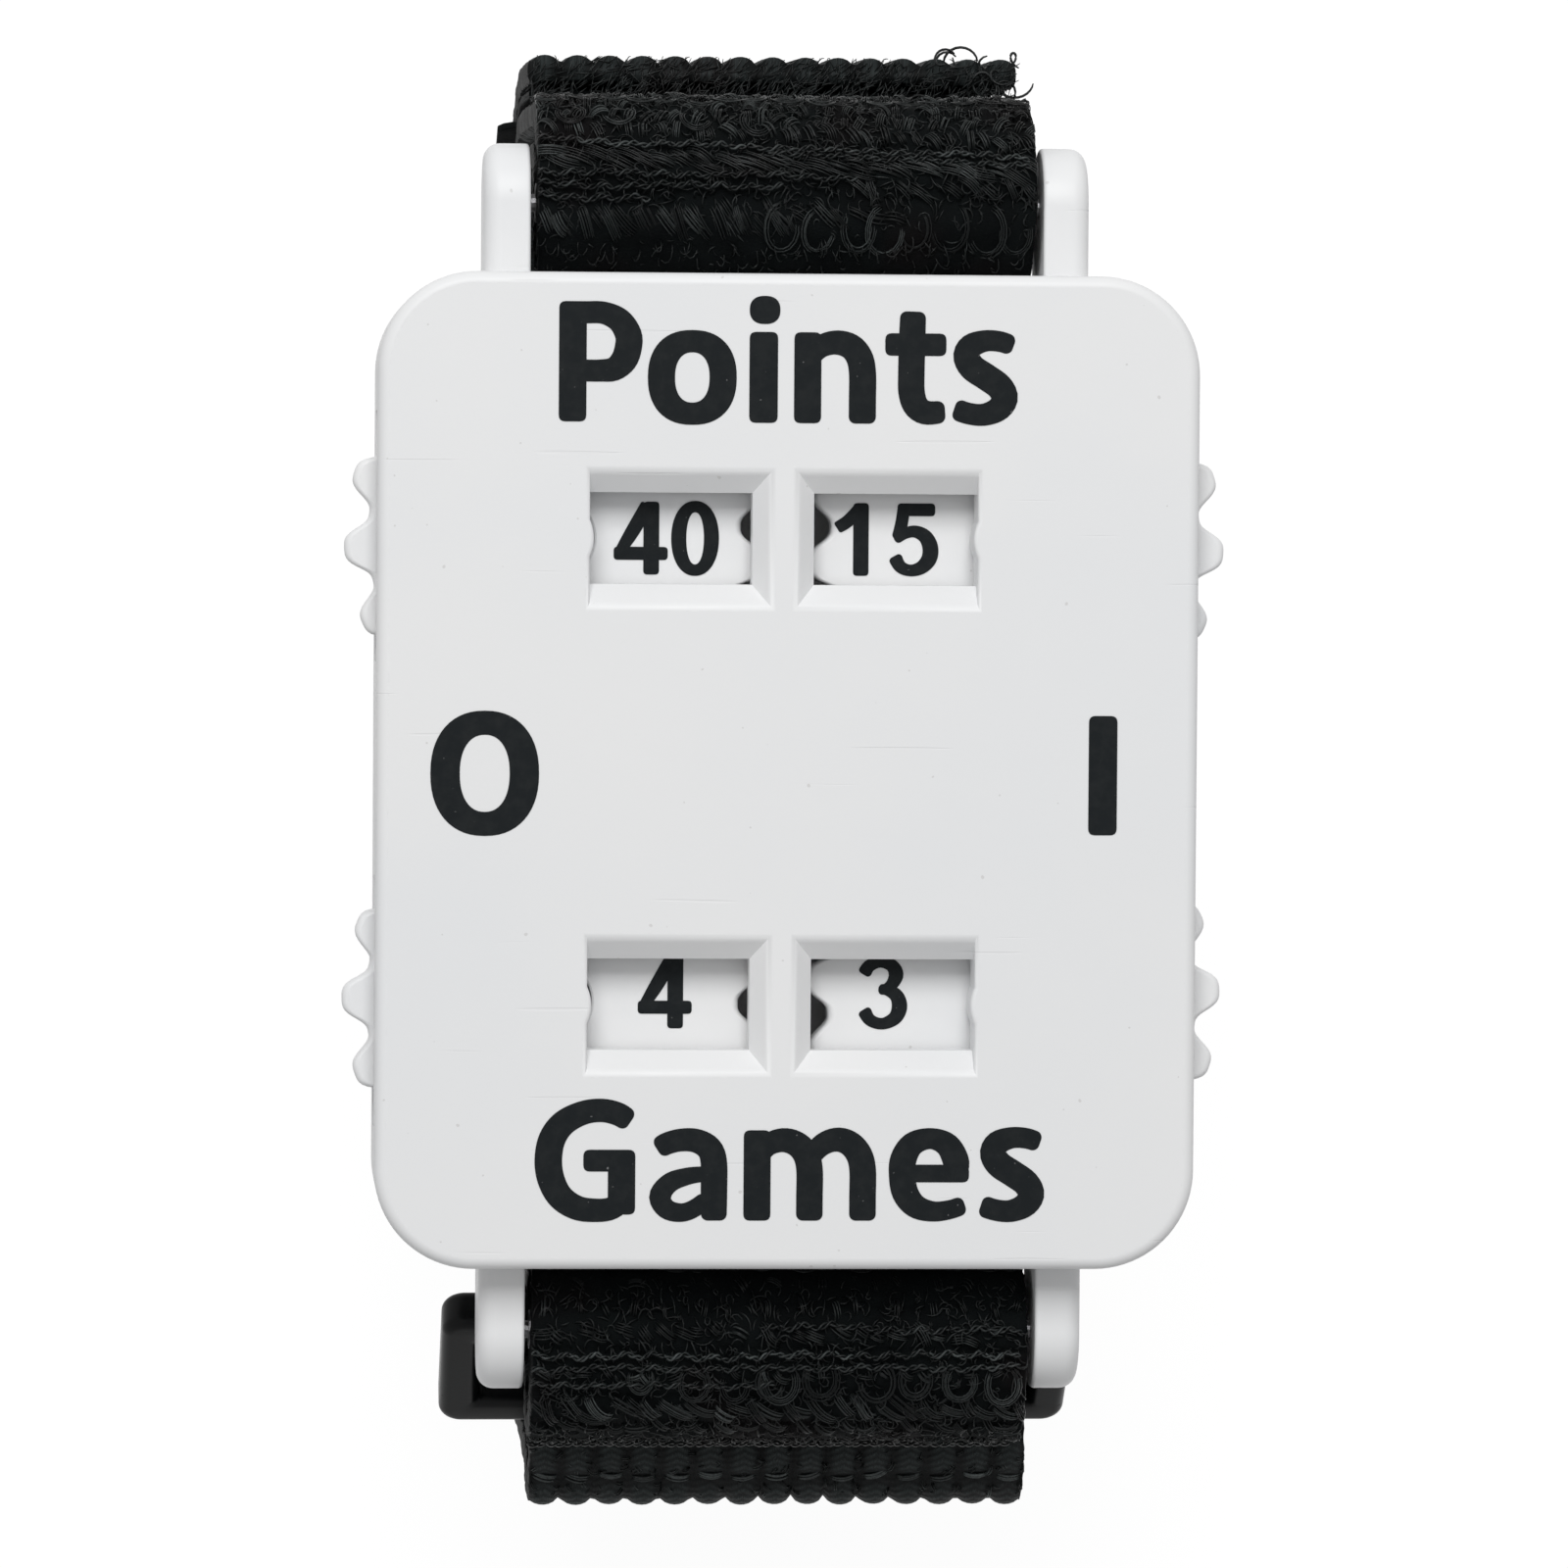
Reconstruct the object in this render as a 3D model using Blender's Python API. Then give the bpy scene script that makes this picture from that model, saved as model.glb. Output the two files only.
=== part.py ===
"""Wrist score counter: a flat white case with four toothed number dials, worn on a hook and loop strap.

Lengths are in metres. X runs across the strap, Y along it and Z up through the case, whose front looks
up. The strap is closed as round a wrist, and the origin is the middle of the flat that it stands on.
"""

import math

import bmesh
import bpy
import numpy as np

# Gaps between pieces
FIT = 0.0003
OVERRUN = 0.001

# Front cover and rear case
CASE_CORNER = 0.0050
COVER_THICKNESS = 0.0024
COVER_EDGE = 0.0006
REAR_DEPTH = 0.0069
REAR_EDGE = 0.0012
CASE_WALL = 0.0016
CASE_FLOOR = 0.0018
TAB_THICKNESS = 0.0010
TAB_DEPTH = 0.0014
END_TAB_WIDTH = 0.0080
SIDE_TAB_WIDTH = 0.0046
SIDE_GROOVE_LENGTH = 0.0075
SIDE_GROOVE_HEIGHT = 0.0014
SIDE_GROOVE_DEPTH = 0.0005

# Number windows in the cover: each has one upright wall, on its dial's side, and three bevels
WINDOW_BAR = 0.0013
WINDOW_HEIGHT = 0.0068
WINDOW_WALL_TO_AXIS = 0.00176
BEVEL_IN = 0.0009
BEVEL_UP = 0.0011
BOSS_RADIUS = 0.00213

# Dials
DIAL_RADIUS = 0.0106
COLUMN_GAP = 0.00212
ROW_GAP = 0.0022
DIAL_PROUD = 0.00161
DIAL_END_ROOM = 0.0011
TOOTH_DEPTH = 0.0012
TOOTH_COUNT = 17
TOOTH_SHARPNESS = 1.4
DIAL_THICKNESS = 0.0016
DIAL_CHAMFER = 0.0002
DIAL_UNDER_COVER = 0.0005
HUB_RADIUS = 0.0042
HUB_HEIGHT = 0.0010
POST_RADIUS = 0.0019
SHOULDER_RADIUS = 0.0034
CLICK_RADIUS = 0.0065
CLICK_SIZE = 0.0007
SLOT_CLEARANCE = 0.0004

# Click springs
SPRING_SPAN = 0.0100
SPRING_WIDTH = 0.0024
SPRING_STEEL = 0.0003
STOP_LENGTH = 0.0008
STOP_HEIGHT = 0.0008

# Case screws
SCREW_RADIUS = 0.0008
SCREW_HEAD_RADIUS = 0.0019
SCREW_HEAD_HEIGHT = 0.0011
SCREW_BITE = 0.0012
CROSS_ARM = 0.0012
CROSS_WIDTH = 0.0004
CROSS_DEPTH = 0.0005

# Strap lugs and spring bars
LUG_THICKNESS = 0.00235
LUG_RADIUS = 0.0030
LUG_EDGE = 0.0003
PIN_ROOM = 0.0006
BAR_RADIUS = 0.0010
BAR_WALL = 0.00025
TIP_COLLAR = 0.0006
TIP_BITE = 0.0011
TIP_SPARE = 0.0001
TIP_TAIL = 0.0025
COIL_WIRE = 0.00020
COIL_TURNS = 8

# Strap, with the opening for the wrist inside it
STRAP_WIDTH = 0.0254
STRAP_SIDE_ROOM = 0.00025
STRAP_THICKNESS = 0.0017
LAYER_GAP = 0.0004
OPENING_HEIGHT = 0.0370
OPENING_WIDTH = 0.0655
FLAT_LENGTH = 0.0260
SIDE_HEIGHT = 0.0220
SHOULDER_BEND = 0.0047
SEWN_TAIL = 0.0090
TAIL_END_HEIGHT = 0.0350
HOOK_THICKNESS = 0.0004
HOOK_FIT = 0.00015
HOOK_START_HEIGHT = 0.0120
HOOK_END_HEIGHT = 0.0375
HOOK_SIDESTEP = 0.0012

# Strap ring
RING_SIDE_ROOM = 0.0017
RING_BAR = 0.0020
RING_THICKNESS = 0.0022
RING_REACH = 0.0074
RING_DROP = 0.0060
RING_SLOPE = 0.0057
RING_CORNER = 0.0012
RING_EDGE = 0.00035
RING_SIDESTEP = 0.0005
RING_PLAY = 0.00065
RING_LIFT = 0.0005
FOLD_BULGE = 0.0025
RING_STRAP_BOW = 0.00525
RING_STRAP_FALL = 0.0045

# Places of the dials, and the case round them
DIAL_ACROSS = DIAL_RADIUS + COLUMN_GAP / 2
DIAL_ALONG = DIAL_RADIUS + ROW_GAP / 2
CASE_WIDTH = 2 * (DIAL_ACROSS + DIAL_RADIUS - DIAL_PROUD)
CASE_LENGTH = 2 * (DIAL_ALONG + DIAL_RADIUS + DIAL_END_ROOM + CASE_WALL)
WINDOW_OUTER = DIAL_ACROSS - WINDOW_WALL_TO_AXIS

# Heights, from the surface it stands on upwards
INNER_LAYER = 1.5 * STRAP_THICKNESS + LAYER_GAP
CASE_BOTTOM = 2 * STRAP_THICKNESS + LAYER_GAP + OPENING_HEIGHT
FLOOR_TOP = CASE_BOTTOM + CASE_FLOOR
RIM = CASE_BOTTOM + REAR_DEPTH
COVER_BOTTOM = RIM + FIT
COVER_TOP = COVER_BOTTOM + COVER_THICKNESS
DIAL_TOP = COVER_BOTTOM - DIAL_UNDER_COVER
DIAL_BOTTOM = DIAL_TOP - DIAL_THICKNESS
HUB_BOTTOM = DIAL_BOTTOM - HUB_HEIGHT
SCREW_HOLE = SCREW_RADIUS + FIT
SCREW_SEAT = SCREW_HEAD_HEIGHT + FIT

# Places of the spring bars, the ring and the strap's layers, in Y and Z
LUG_GAP = STRAP_WIDTH + 2 * STRAP_SIDE_ROOM
RING_WIDTH = STRAP_WIDTH + 2 * (RING_SIDE_ROOM + RING_BAR)
WRAP_RADIUS = BAR_RADIUS + FIT + STRAP_THICKNESS / 2
PIN_Y = CASE_LENGTH / 2 + PIN_ROOM + WRAP_RADIUS + STRAP_THICKNESS / 2
PIN_Z = RIM - FIT - LUG_RADIUS
TIP_TRAVEL = TIP_BITE + TIP_SPARE
TIP_RADIUS = BAR_RADIUS - BAR_WALL - FIT
RING_PIVOT = (-PIN_Y, PIN_Z - RING_DROP)
RING_TILT = math.asin(RING_SLOPE / RING_REACH)
RING_OUTER_BAR = (-PIN_Y - RING_REACH * math.cos(RING_TILT), RING_PIVOT[1] - RING_SLOPE)
FOLD_RADIUS = RING_BAR / 2 + RING_PLAY + STRAP_THICKNESS / 2
FOLD_HEIGHT = RING_OUTER_BAR[1] + RING_LIFT
SIDE_Y = (OPENING_WIDTH + STRAP_THICKNESS) / 2
TOP_SIDE_Y = PIN_Y + SHOULDER_BEND
RING_SIDE_Y = -RING_OUTER_BAR[0] - FOLD_RADIUS
LAYER_STEP = STRAP_THICKNESS + LAYER_GAP
HOOKED_STEP = STRAP_THICKNESS + HOOK_THICKNESS + 2 * HOOK_FIT

# How many straight pieces a round stretch has
ROUND_SIDES = 24
FINE_SIDES = 12
CORNER_STEPS = 6
BEND_STEPS = 10
LOOP_STEPS = 16
TOOTH_STEPS = 6
BEAD_SIDES = 8
WIRE_SIDES = 5
EDGE_STEPS = 4

# Each dial: the sign of its X and Y, its number of clicks, and the angle of its outermost tooth in
# degrees above the outward direction
DIALS = {
    "opponent_points_dial": (-1, 1, 5, -3.4),
    "own_points_dial": (1, 1, 5, -3.3),
    "opponent_games_dial": (-1, -1, 8, 0.7),
    "own_games_dial": (1, -1, 8, 3.7),
}


def clear_scene():
    for thing in list(bpy.data.objects):
        bpy.data.objects.remove(thing)


def material(name, colour, roughness, metallic=0.0):
    made = bpy.data.materials.new(name)
    made.use_nodes = True
    shader = made.node_tree.nodes["Principled BSDF"]
    shader.inputs["Base Color"].default_value = (*colour, 1.0)
    shader.inputs["Roughness"].default_value = roughness
    shader.inputs["Metallic"].default_value = metallic
    return made


def solid(name, parts, finish=None, origin=(0, 0, 0)):
    """One object of closed skins, each (points, faces) in world places, with its origin at origin."""
    mesh = bpy.data.meshes.new(name)
    points, faces, start = [], [], 0
    for part_points, part_faces in parts:
        points.extend(np.asarray(part_points) - origin)
        faces.extend([[start + i for i in face] for face in part_faces])
        start += len(part_points)
    mesh.from_pydata(points, [], faces)
    shell = bmesh.new()
    shell.from_mesh(mesh)
    bmesh.ops.recalc_face_normals(shell, faces=shell.faces)
    shell.to_mesh(mesh)
    shell.free()
    mesh.shade_smooth()
    mesh.set_sharp_from_angle(angle=math.radians(35))
    made = bpy.data.objects.new(name, mesh)
    made.location = origin
    bpy.context.scene.collection.objects.link(made)
    if finish is None:
        made.hide_render = True
        made.display_type = "WIRE"
    else:
        mesh.materials.append(finish)
    return made


def boolean(target, operation, parts):
    """Cuts the parts from the target, or joins them to it."""
    helper = solid(f"{target.name}_{operation.lower()}_{len(target.modifiers)}", parts)
    step = target.modifiers.new(helper.name, "BOOLEAN")
    step.operation = operation
    step.solver = "EXACT"
    step.object = helper


def skin(rings, closed=False):
    """A skin over rings of equal point counts: capped at both ends, or closed into a loop of rings."""
    rings = [np.asarray(ring) for ring in rings]
    count, total = len(rings[0]), len(rings)
    faces = []
    for r in range(total if closed else total - 1):
        here, there = r * count, (r + 1) % total * count
        for i in range(count):
            j = (i + 1) % count
            faces.append([here + i, here + j, there + j, there + i])
    if not closed:
        faces.append(list(range(count))[::-1])
        faces.append([(total - 1) * count + i for i in range(count)])
    return np.concatenate(rings), faces


def circle(radius, sides=ROUND_SIDES):
    turn = np.arange(sides) * (2 * math.pi / sides)
    return np.stack([radius * np.cos(turn), radius * np.sin(turn)], axis=1)


def rounded_rectangle(width, length, radius):
    """The outline of a rectangle whose corners are quarter circles, counter-clockwise."""
    corners = []
    for k, (sx, sy) in enumerate([(1, 1), (-1, 1), (-1, -1), (1, -1)]):
        turn = (k + np.linspace(0, 1, CORNER_STEPS + 1)) * math.pi / 2
        centre = (sx * (width / 2 - radius), sy * (length / 2 - radius))
        corners.append(np.stack([np.cos(turn), np.sin(turn)], axis=1) * radius + centre)
    return np.concatenate(corners)


def at_height(outline, z, centre=(0, 0)):
    outline = np.asarray(outline) + centre
    return np.column_stack([outline, np.full(len(outline), z)])


def across(outline, x):
    """A (Y, Z) outline placed at one X."""
    outline = np.asarray(outline)
    return np.column_stack([np.full(len(outline), x), outline])


def slab(width, length, radius, levels, centre=(0, 0)):
    """A rounded block from its levels, each (inset, z)."""
    rings = []
    for inset, z in levels:
        outline = rounded_rectangle(width - 2 * inset, length - 2 * inset, radius - inset)
        rings.append(at_height(outline, z, centre))
    return skin(rings)


def block(low, high):
    corners = [(low[0], low[1]), (high[0], low[1]), (high[0], high[1]), (low[0], high[1])]
    return skin([at_height(corners, low[2]), at_height(corners, high[2])])


def turned(levels, centre, sides=ROUND_SIDES):
    """A round solid standing along Z, from its levels, each (radius, z)."""
    return skin([at_height(circle(radius, sides), z, centre) for radius, z in levels])


def turned_across(levels, centre, sides=FINE_SIDES, closed=False):
    """A round solid lying along X, from its levels, each (radius, x), round a centre in Y and Z."""
    return skin([across(circle(radius, sides) + centre, x) for radius, x in levels], closed)


def rounded_edge(radius):
    """(inset, drop) pairs from an upright side over a quarter round onto the top."""
    turn = np.linspace(0, math.pi / 2, EDGE_STEPS + 1)
    return [(radius * (1 - math.cos(a)), radius * (1 - math.sin(a))) for a in turn]


def dial_places():
    """Each dial's name, its side's sign and its axis in X and Y."""
    for name, (sx, sy, clicks, tooth) in DIALS.items():
        yield name, sx, (sx * DIAL_ACROSS, sy * DIAL_ALONG)


def window_opening(sx, y, depth_share, z):
    """One window's outline at a height; depth_share is 0 at the cover's front and 1 at its back."""
    half = WINDOW_HEIGHT / 2 - depth_share * BEVEL_UP
    inner = WINDOW_BAR / 2 + depth_share * BEVEL_IN
    reach = math.acos(WINDOW_WALL_TO_AXIS / BOSS_RADIUS)
    turn = np.linspace(math.pi + reach, math.pi - reach, BEND_STEPS)
    boss = np.stack([DIAL_ACROSS + BOSS_RADIUS * np.cos(turn), BOSS_RADIUS * np.sin(turn)], axis=1)
    outline = [(inner, half), (inner, -half), (WINDOW_OUTER, -half), *boss, (WINDOW_OUTER, half)]
    return at_height(np.array(outline) * (sx, 1), z, (0, y))


def make_cover(finish):
    edge = [(inset, COVER_TOP - drop) for inset, drop in rounded_edge(COVER_EDGE)]
    levels = [(0, COVER_BOTTOM), *edge]
    cover = solid("front_cover", [slab(CASE_WIDTH, CASE_LENGTH, CASE_CORNER, levels)], finish)
    tabs = []
    tab_y = CASE_LENGTH / 2 - CASE_WALL - FIT
    tab_x = CASE_WIDTH / 2 - CASE_WALL - FIT
    low, high = COVER_BOTTOM - TAB_DEPTH, COVER_BOTTOM + COVER_THICKNESS / 2
    for side in (-1, 1):
        y = sorted([side * tab_y, side * (tab_y - TAB_THICKNESS)])
        tabs.append(block((-END_TAB_WIDTH / 2, y[0], low), (END_TAB_WIDTH / 2, y[1], high)))
        x = sorted([side * tab_x, side * (tab_x - TAB_THICKNESS)])
        tabs.append(block((x[0], -SIDE_TAB_WIDTH / 2, low), (x[1], SIDE_TAB_WIDTH / 2, high)))
    boolean(cover, "UNION", tabs)
    cuts = []
    over_share = OVERRUN / COVER_THICKNESS
    for name, sx, centre in dial_places():
        back = window_opening(sx, centre[1], 1 + over_share, COVER_BOTTOM - OVERRUN)
        front = window_opening(sx, centre[1], -over_share, COVER_TOP + OVERRUN)
        cuts.append(skin([back, front]))
        ends = (COVER_BOTTOM - OVERRUN, COVER_BOTTOM + SCREW_BITE + FIT)
        cuts.append(turned([(SCREW_HOLE, z) for z in ends], centre))
    boolean(cover, "DIFFERENCE", cuts)


def lug(side, end):
    """One strap lug: side is the sign of its X, end the sign of its Y."""
    rings = []
    inner = LUG_GAP / 2
    outer = inner + LUG_THICKNESS
    places = [(inner, LUG_EDGE), (inner + LUG_EDGE, 0), (outer - LUG_EDGE, 0), (outer, LUG_EDGE)]
    for x, inset in places:
        turn = np.linspace(-math.pi / 2, math.pi / 2, BEND_STEPS + 1)
        radius = LUG_RADIUS - inset
        nose = np.stack([PIN_Y + radius * np.cos(turn), PIN_Z + radius * np.sin(turn)], axis=1)
        root = CASE_LENGTH / 2 - CASE_WALL / 2
        outline = np.concatenate([nose, [(root, PIN_Z + radius), (root, PIN_Z - radius)]])
        rings.append(across(outline * (end, 1), side * x))
    return skin(rings)


def make_rear_case(finish):
    edge = [(inset, CASE_BOTTOM + drop) for inset, drop in rounded_edge(REAR_EDGE)][::-1]
    case = solid("rear_case", [slab(CASE_WIDTH, CASE_LENGTH, CASE_CORNER, [*edge, (0, RIM)])], finish)
    hollow = [(CASE_WALL, FLOOR_TOP), (CASE_WALL, RIM + OVERRUN)]
    boolean(case, "DIFFERENCE", [slab(CASE_WIDTH, CASE_LENGTH, CASE_CORNER, hollow)])

    slots, posts, holes = [], [], []
    slot_radius = DIAL_RADIUS + SLOT_CLEARANCE
    stop_y = SPRING_SPAN / 2 + FIT
    for name, sx, centre in dial_places():
        slot = [(slot_radius, DIAL_BOTTOM - SLOT_CLEARANCE), (slot_radius, RIM + OVERRUN)]
        slots.append(turned(slot, centre, 2 * ROUND_SIDES))
        low = FLOOR_TOP - CASE_FLOOR / 2
        shoulder = HUB_BOTTOM - FIT
        foot_part = [(SHOULDER_RADIUS, low), (SHOULDER_RADIUS, shoulder)]
        posts.append(turned([*foot_part, (POST_RADIUS, shoulder), (POST_RADIUS, RIM)], centre))
        spring_x = centre[0] - sx * CLICK_RADIUS
        for end in (-1, 1):
            y = sorted([centre[1] + end * stop_y, centre[1] + end * (stop_y + STOP_LENGTH)])
            foot = (spring_x - SPRING_WIDTH / 2, y[0], low)
            head = (spring_x + SPRING_WIDTH / 2, y[1], FLOOR_TOP + STOP_HEIGHT)
            posts.append(block(foot, head))
        seat = CASE_BOTTOM + SCREW_SEAT
        head_room = SCREW_HEAD_RADIUS + FIT
        head_part = [(head_room, CASE_BOTTOM - OVERRUN), (head_room, seat)]
        holes.append(turned([*head_part, (SCREW_HOLE, seat), (SCREW_HOLE, RIM + OVERRUN)], centre))
    boolean(case, "DIFFERENCE", slots)

    groove_z = (CASE_BOTTOM + REAR_EDGE + DIAL_BOTTOM) / 2
    for side in (-1, 1):
        for end in (-1, 1):
            posts.append(lug(side, end))
            hole_radius = TIP_RADIUS + FIT
            ends = (LUG_GAP / 2 - OVERRUN, LUG_GAP / 2 + TIP_BITE + FIT)
            hole = [(hole_radius, side * x) for x in ends]
            holes.append(turned_across(hole, (end * PIN_Y, PIN_Z)))
        wall = CASE_WIDTH / 2
        x = sorted([side * (wall + OVERRUN), side * (wall - SIDE_GROOVE_DEPTH)])
        half = SIDE_GROOVE_LENGTH / 2
        rise = SIDE_GROOVE_HEIGHT / 2
        holes.append(block((x[0], -half, groove_z - rise), (x[1], half, groove_z + rise)))
    boolean(case, "UNION", posts)
    boolean(case, "DIFFERENCE", holes)


def toothed_outline(inset, lean):
    """A round outline with rounded teeth: the radius falls from tip to root as a raised cosine."""
    turn = np.arange(TOOTH_COUNT * TOOTH_STEPS) * (2 * math.pi / (TOOTH_COUNT * TOOTH_STEPS))
    fall = ((1 - np.cos(TOOTH_COUNT * turn)) / 2) ** TOOTH_SHARPNESS
    radius = DIAL_RADIUS - inset - TOOTH_DEPTH * fall
    return np.stack([radius * np.cos(turn + lean), radius * np.sin(turn + lean)], axis=1)


def make_dial(name, sx, centre, finish):
    """A toothed disc over a hub, with a bore for its post and a dimple in its underside for each click."""
    clicks, tooth = DIALS[name][2:]
    outward = 0 if sx > 0 else math.pi
    lean = outward + sx * math.radians(tooth)
    levels = [
        (DIAL_CHAMFER, DIAL_BOTTOM),
        (0, DIAL_BOTTOM + DIAL_CHAMFER),
        (0, DIAL_TOP - DIAL_CHAMFER),
        (DIAL_CHAMFER, DIAL_TOP),
    ]
    rings = [at_height(toothed_outline(inset, lean), z, centre) for inset, z in levels]
    origin = (*centre, DIAL_BOTTOM)
    dial = solid(name, [skin(rings)], finish, origin)
    hub = [(HUB_RADIUS, HUB_BOTTOM), (HUB_RADIUS, (DIAL_BOTTOM + DIAL_TOP) / 2)]
    boolean(dial, "UNION", [turned(hub, centre)])
    bore = POST_RADIUS + FIT
    cuts = [turned([(bore, HUB_BOTTOM - OVERRUN), (bore, DIAL_TOP + OVERRUN)], centre)]
    dimple = [
        (CLICK_SIZE, DIAL_BOTTOM - OVERRUN),
        (CLICK_SIZE, DIAL_BOTTOM),
        (CLICK_SIZE / 2, DIAL_BOTTOM + CLICK_SIZE),
    ]
    for k in range(clicks):
        turn = outward + math.pi + 2 * math.pi * k / clicks
        place = np.array(centre) + np.array([math.cos(turn), math.sin(turn)]) * CLICK_RADIUS
        cuts.append(turned(dimple, place, BEAD_SIDES))
    boolean(dial, "DIFFERENCE", cuts)


def ribbon(name, path, thickness, width, finish, sidestep=0.0, closed=False, origin=(0, 0, 0)):
    """A flat strip whose middle line runs through (Y, Z) points, as wide as width across X."""
    path = np.asarray(path)
    if closed:
        along = np.roll(path, -1, axis=0) - np.roll(path, 1, axis=0)
    else:
        along = np.gradient(path, axis=0)
    along /= np.linalg.norm(along, axis=1)[:, None]
    out = np.column_stack([-along[:, 1], along[:, 0]]) * thickness / 2
    left, right = sidestep - width / 2, sidestep + width / 2
    rings = []
    for point, half in zip(path, out):
        near, far = point + half, point - half
        rings.append([(left, *near), (right, *near), (right, *far), (left, *far)])
    return solid(name, [skin(rings, closed)], finish, origin)


def arc(centre, radius, start, end, steps):
    """Points of a (Y, Z) arc, from start to end in quarter turns."""
    turn = np.linspace(start, end, steps + 1) * math.pi / 2
    return np.stack([centre[0] + radius * np.cos(turn), centre[1] + radius * np.sin(turn)], axis=1)


def ease(t):
    t = np.clip(t, 0, 1)
    return t * t * (3 - 2 * t)


def strap_side(top_y, top_z):
    """The strap's upright side from its widest height up to top_z, easing over to top_y."""
    z = np.linspace(SIDE_HEIGHT, top_z, LOOP_STEPS // 2 + 1)
    y = SIDE_Y + (top_y - SIDE_Y) * ease((z - SIDE_HEIGHT) / (top_z - SIDE_HEIGHT))
    return np.column_stack([y, z])


def inner_loop():
    """The inner layer round the wrist, from the ring to the top shoulder: side, quarter ellipse, flat."""
    quarter = np.linspace(0, math.pi / 2, LOOP_STEPS + 1)
    half_flat = FLAT_LENGTH / 2
    y = half_flat + (SIDE_Y - half_flat) * np.sin(quarter)
    z = SIDE_HEIGHT - (SIDE_HEIGHT - INNER_LAYER) * np.cos(quarter)
    low_right = np.column_stack([y, z])
    low_left = low_right[::-1] * (-1, 1)
    ring_side = strap_side(RING_SIDE_Y, FOLD_HEIGHT)[::-1] * (-1, 1)
    top_side = strap_side(TOP_SIDE_Y, PIN_Z + WRAP_RADIUS - SHOULDER_BEND)
    return np.concatenate([ring_side[:-1], low_left, low_right, top_side[1:]])


def outward_step(path, step):
    """The path moved outwards, square to itself, by step at each of its points."""
    along = np.gradient(path, axis=0)
    along /= np.linalg.norm(along, axis=1)[:, None]
    return path + np.column_stack([along[:, 1], -along[:, 0]]) * step[:, None]


def layer_steps(path):
    """How far apart the middles of the two layers are: wide at the ring's bar, close, then room for hooks."""
    run = np.concatenate([[0], np.cumsum(np.linalg.norm(np.diff(path, axis=0), axis=1))])
    share = run / run[-1]
    ring_end_share, hook_start_share, hook_blend_share = 0.10, 0.66, 0.10
    at_ring = (2 * FOLD_RADIUS + FOLD_BULGE - LAYER_STEP) * (1 - ease(share / ring_end_share))
    at_hooks = (HOOKED_STEP - LAYER_STEP) * ease((share - hook_start_share) / hook_blend_share)
    return LAYER_STEP + at_ring + at_hooks


def make_strap(webbing, hooks):
    loop = inner_loop()
    steps = layer_steps(loop)
    outer = outward_step(loop, steps)
    top = np.where(outer[:, 0] < 0, FOLD_HEIGHT - 2 * STRAP_THICKNESS, TAIL_END_HEIGHT)
    outer = outer[outer[:, 1] < top]
    fold = arc((RING_OUTER_BAR[0], FOLD_HEIGHT), FOLD_RADIUS, 2, 0, 2 * BEND_STEPS)
    past_bar = np.clip(RING_OUTER_BAR[0] - fold[:, 0], 0, None)
    fold[:, 0] -= past_bar * FOLD_BULGE / FOLD_RADIUS
    bend_top = PIN_Z + WRAP_RADIUS - SHOULDER_BEND
    bend = arc((PIN_Y, bend_top), SHOULDER_BEND, 0, 1, BEND_STEPS)
    wrap = arc((PIN_Y, PIN_Z), WRAP_RADIUS, 1, 3, LOOP_STEPS)
    inset = STRAP_THICKNESS + FIT
    tail_bend = SHOULDER_BEND - inset
    tail_top = PIN_Z - WRAP_RADIUS - tail_bend
    tail = arc((PIN_Y, tail_top), tail_bend, 1, 0, BEND_STEPS)
    tail_end = [(TOP_SIDE_Y - inset, tail_top - SEWN_TAIL)]
    path = np.concatenate([outer[::-1], fold[:-1], loop[:-1], bend, wrap[1:], tail[1:], tail_end])
    ribbon("long_strap", path, STRAP_THICKNESS, STRAP_WIDTH, webbing)

    middle = outward_step(loop, steps / 2)
    high_enough = (middle[:, 0] > 0) & (middle[:, 1] > HOOK_START_HEIGHT)
    patch = middle[high_enough & (middle[:, 1] < HOOK_END_HEIGHT)]
    ribbon("hook_patch", patch, HOOK_THICKNESS, STRAP_WIDTH, hooks, -HOOK_SIDESTEP)


def make_ring_strap(webbing):
    """A closed belt of webbing round the bottom spring bar and the ring's inner bar, bowed out between them."""
    corner = math.hypot(RING_BAR / 2, RING_THICKNESS / 2 - RING_EDGE)
    low_radius = corner + FIT + STRAP_THICKNESS / 2
    top = arc((-PIN_Y, PIN_Z), WRAP_RADIUS, 0, 1, LOOP_STEPS // 2)
    low = arc(RING_PIVOT, low_radius, 2.5, 4, LOOP_STEPS)
    bow_centre = (-PIN_Y, PIN_Z + WRAP_RADIUS - RING_STRAP_FALL)
    bow = arc((0, 0), 1, 1, 2, BEND_STEPS) * (RING_STRAP_BOW, RING_STRAP_FALL) + bow_centre
    bow_end, wrap_start = bow[-1], low[0]
    pull = np.array([bow_end[0], wrap_start[1] + wrap_start[0] - bow_end[0]])
    t = np.linspace(0, 1, BEND_STEPS + 1)[1:-1, None]
    back = (1 - t) ** 2 * bow_end + 2 * t * (1 - t) * pull + t ** 2 * wrap_start
    path = np.concatenate([top, bow[1:], back, low])
    ribbon("ring_strap", path, STRAP_THICKNESS, STRAP_WIDTH, webbing, closed=True)


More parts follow.
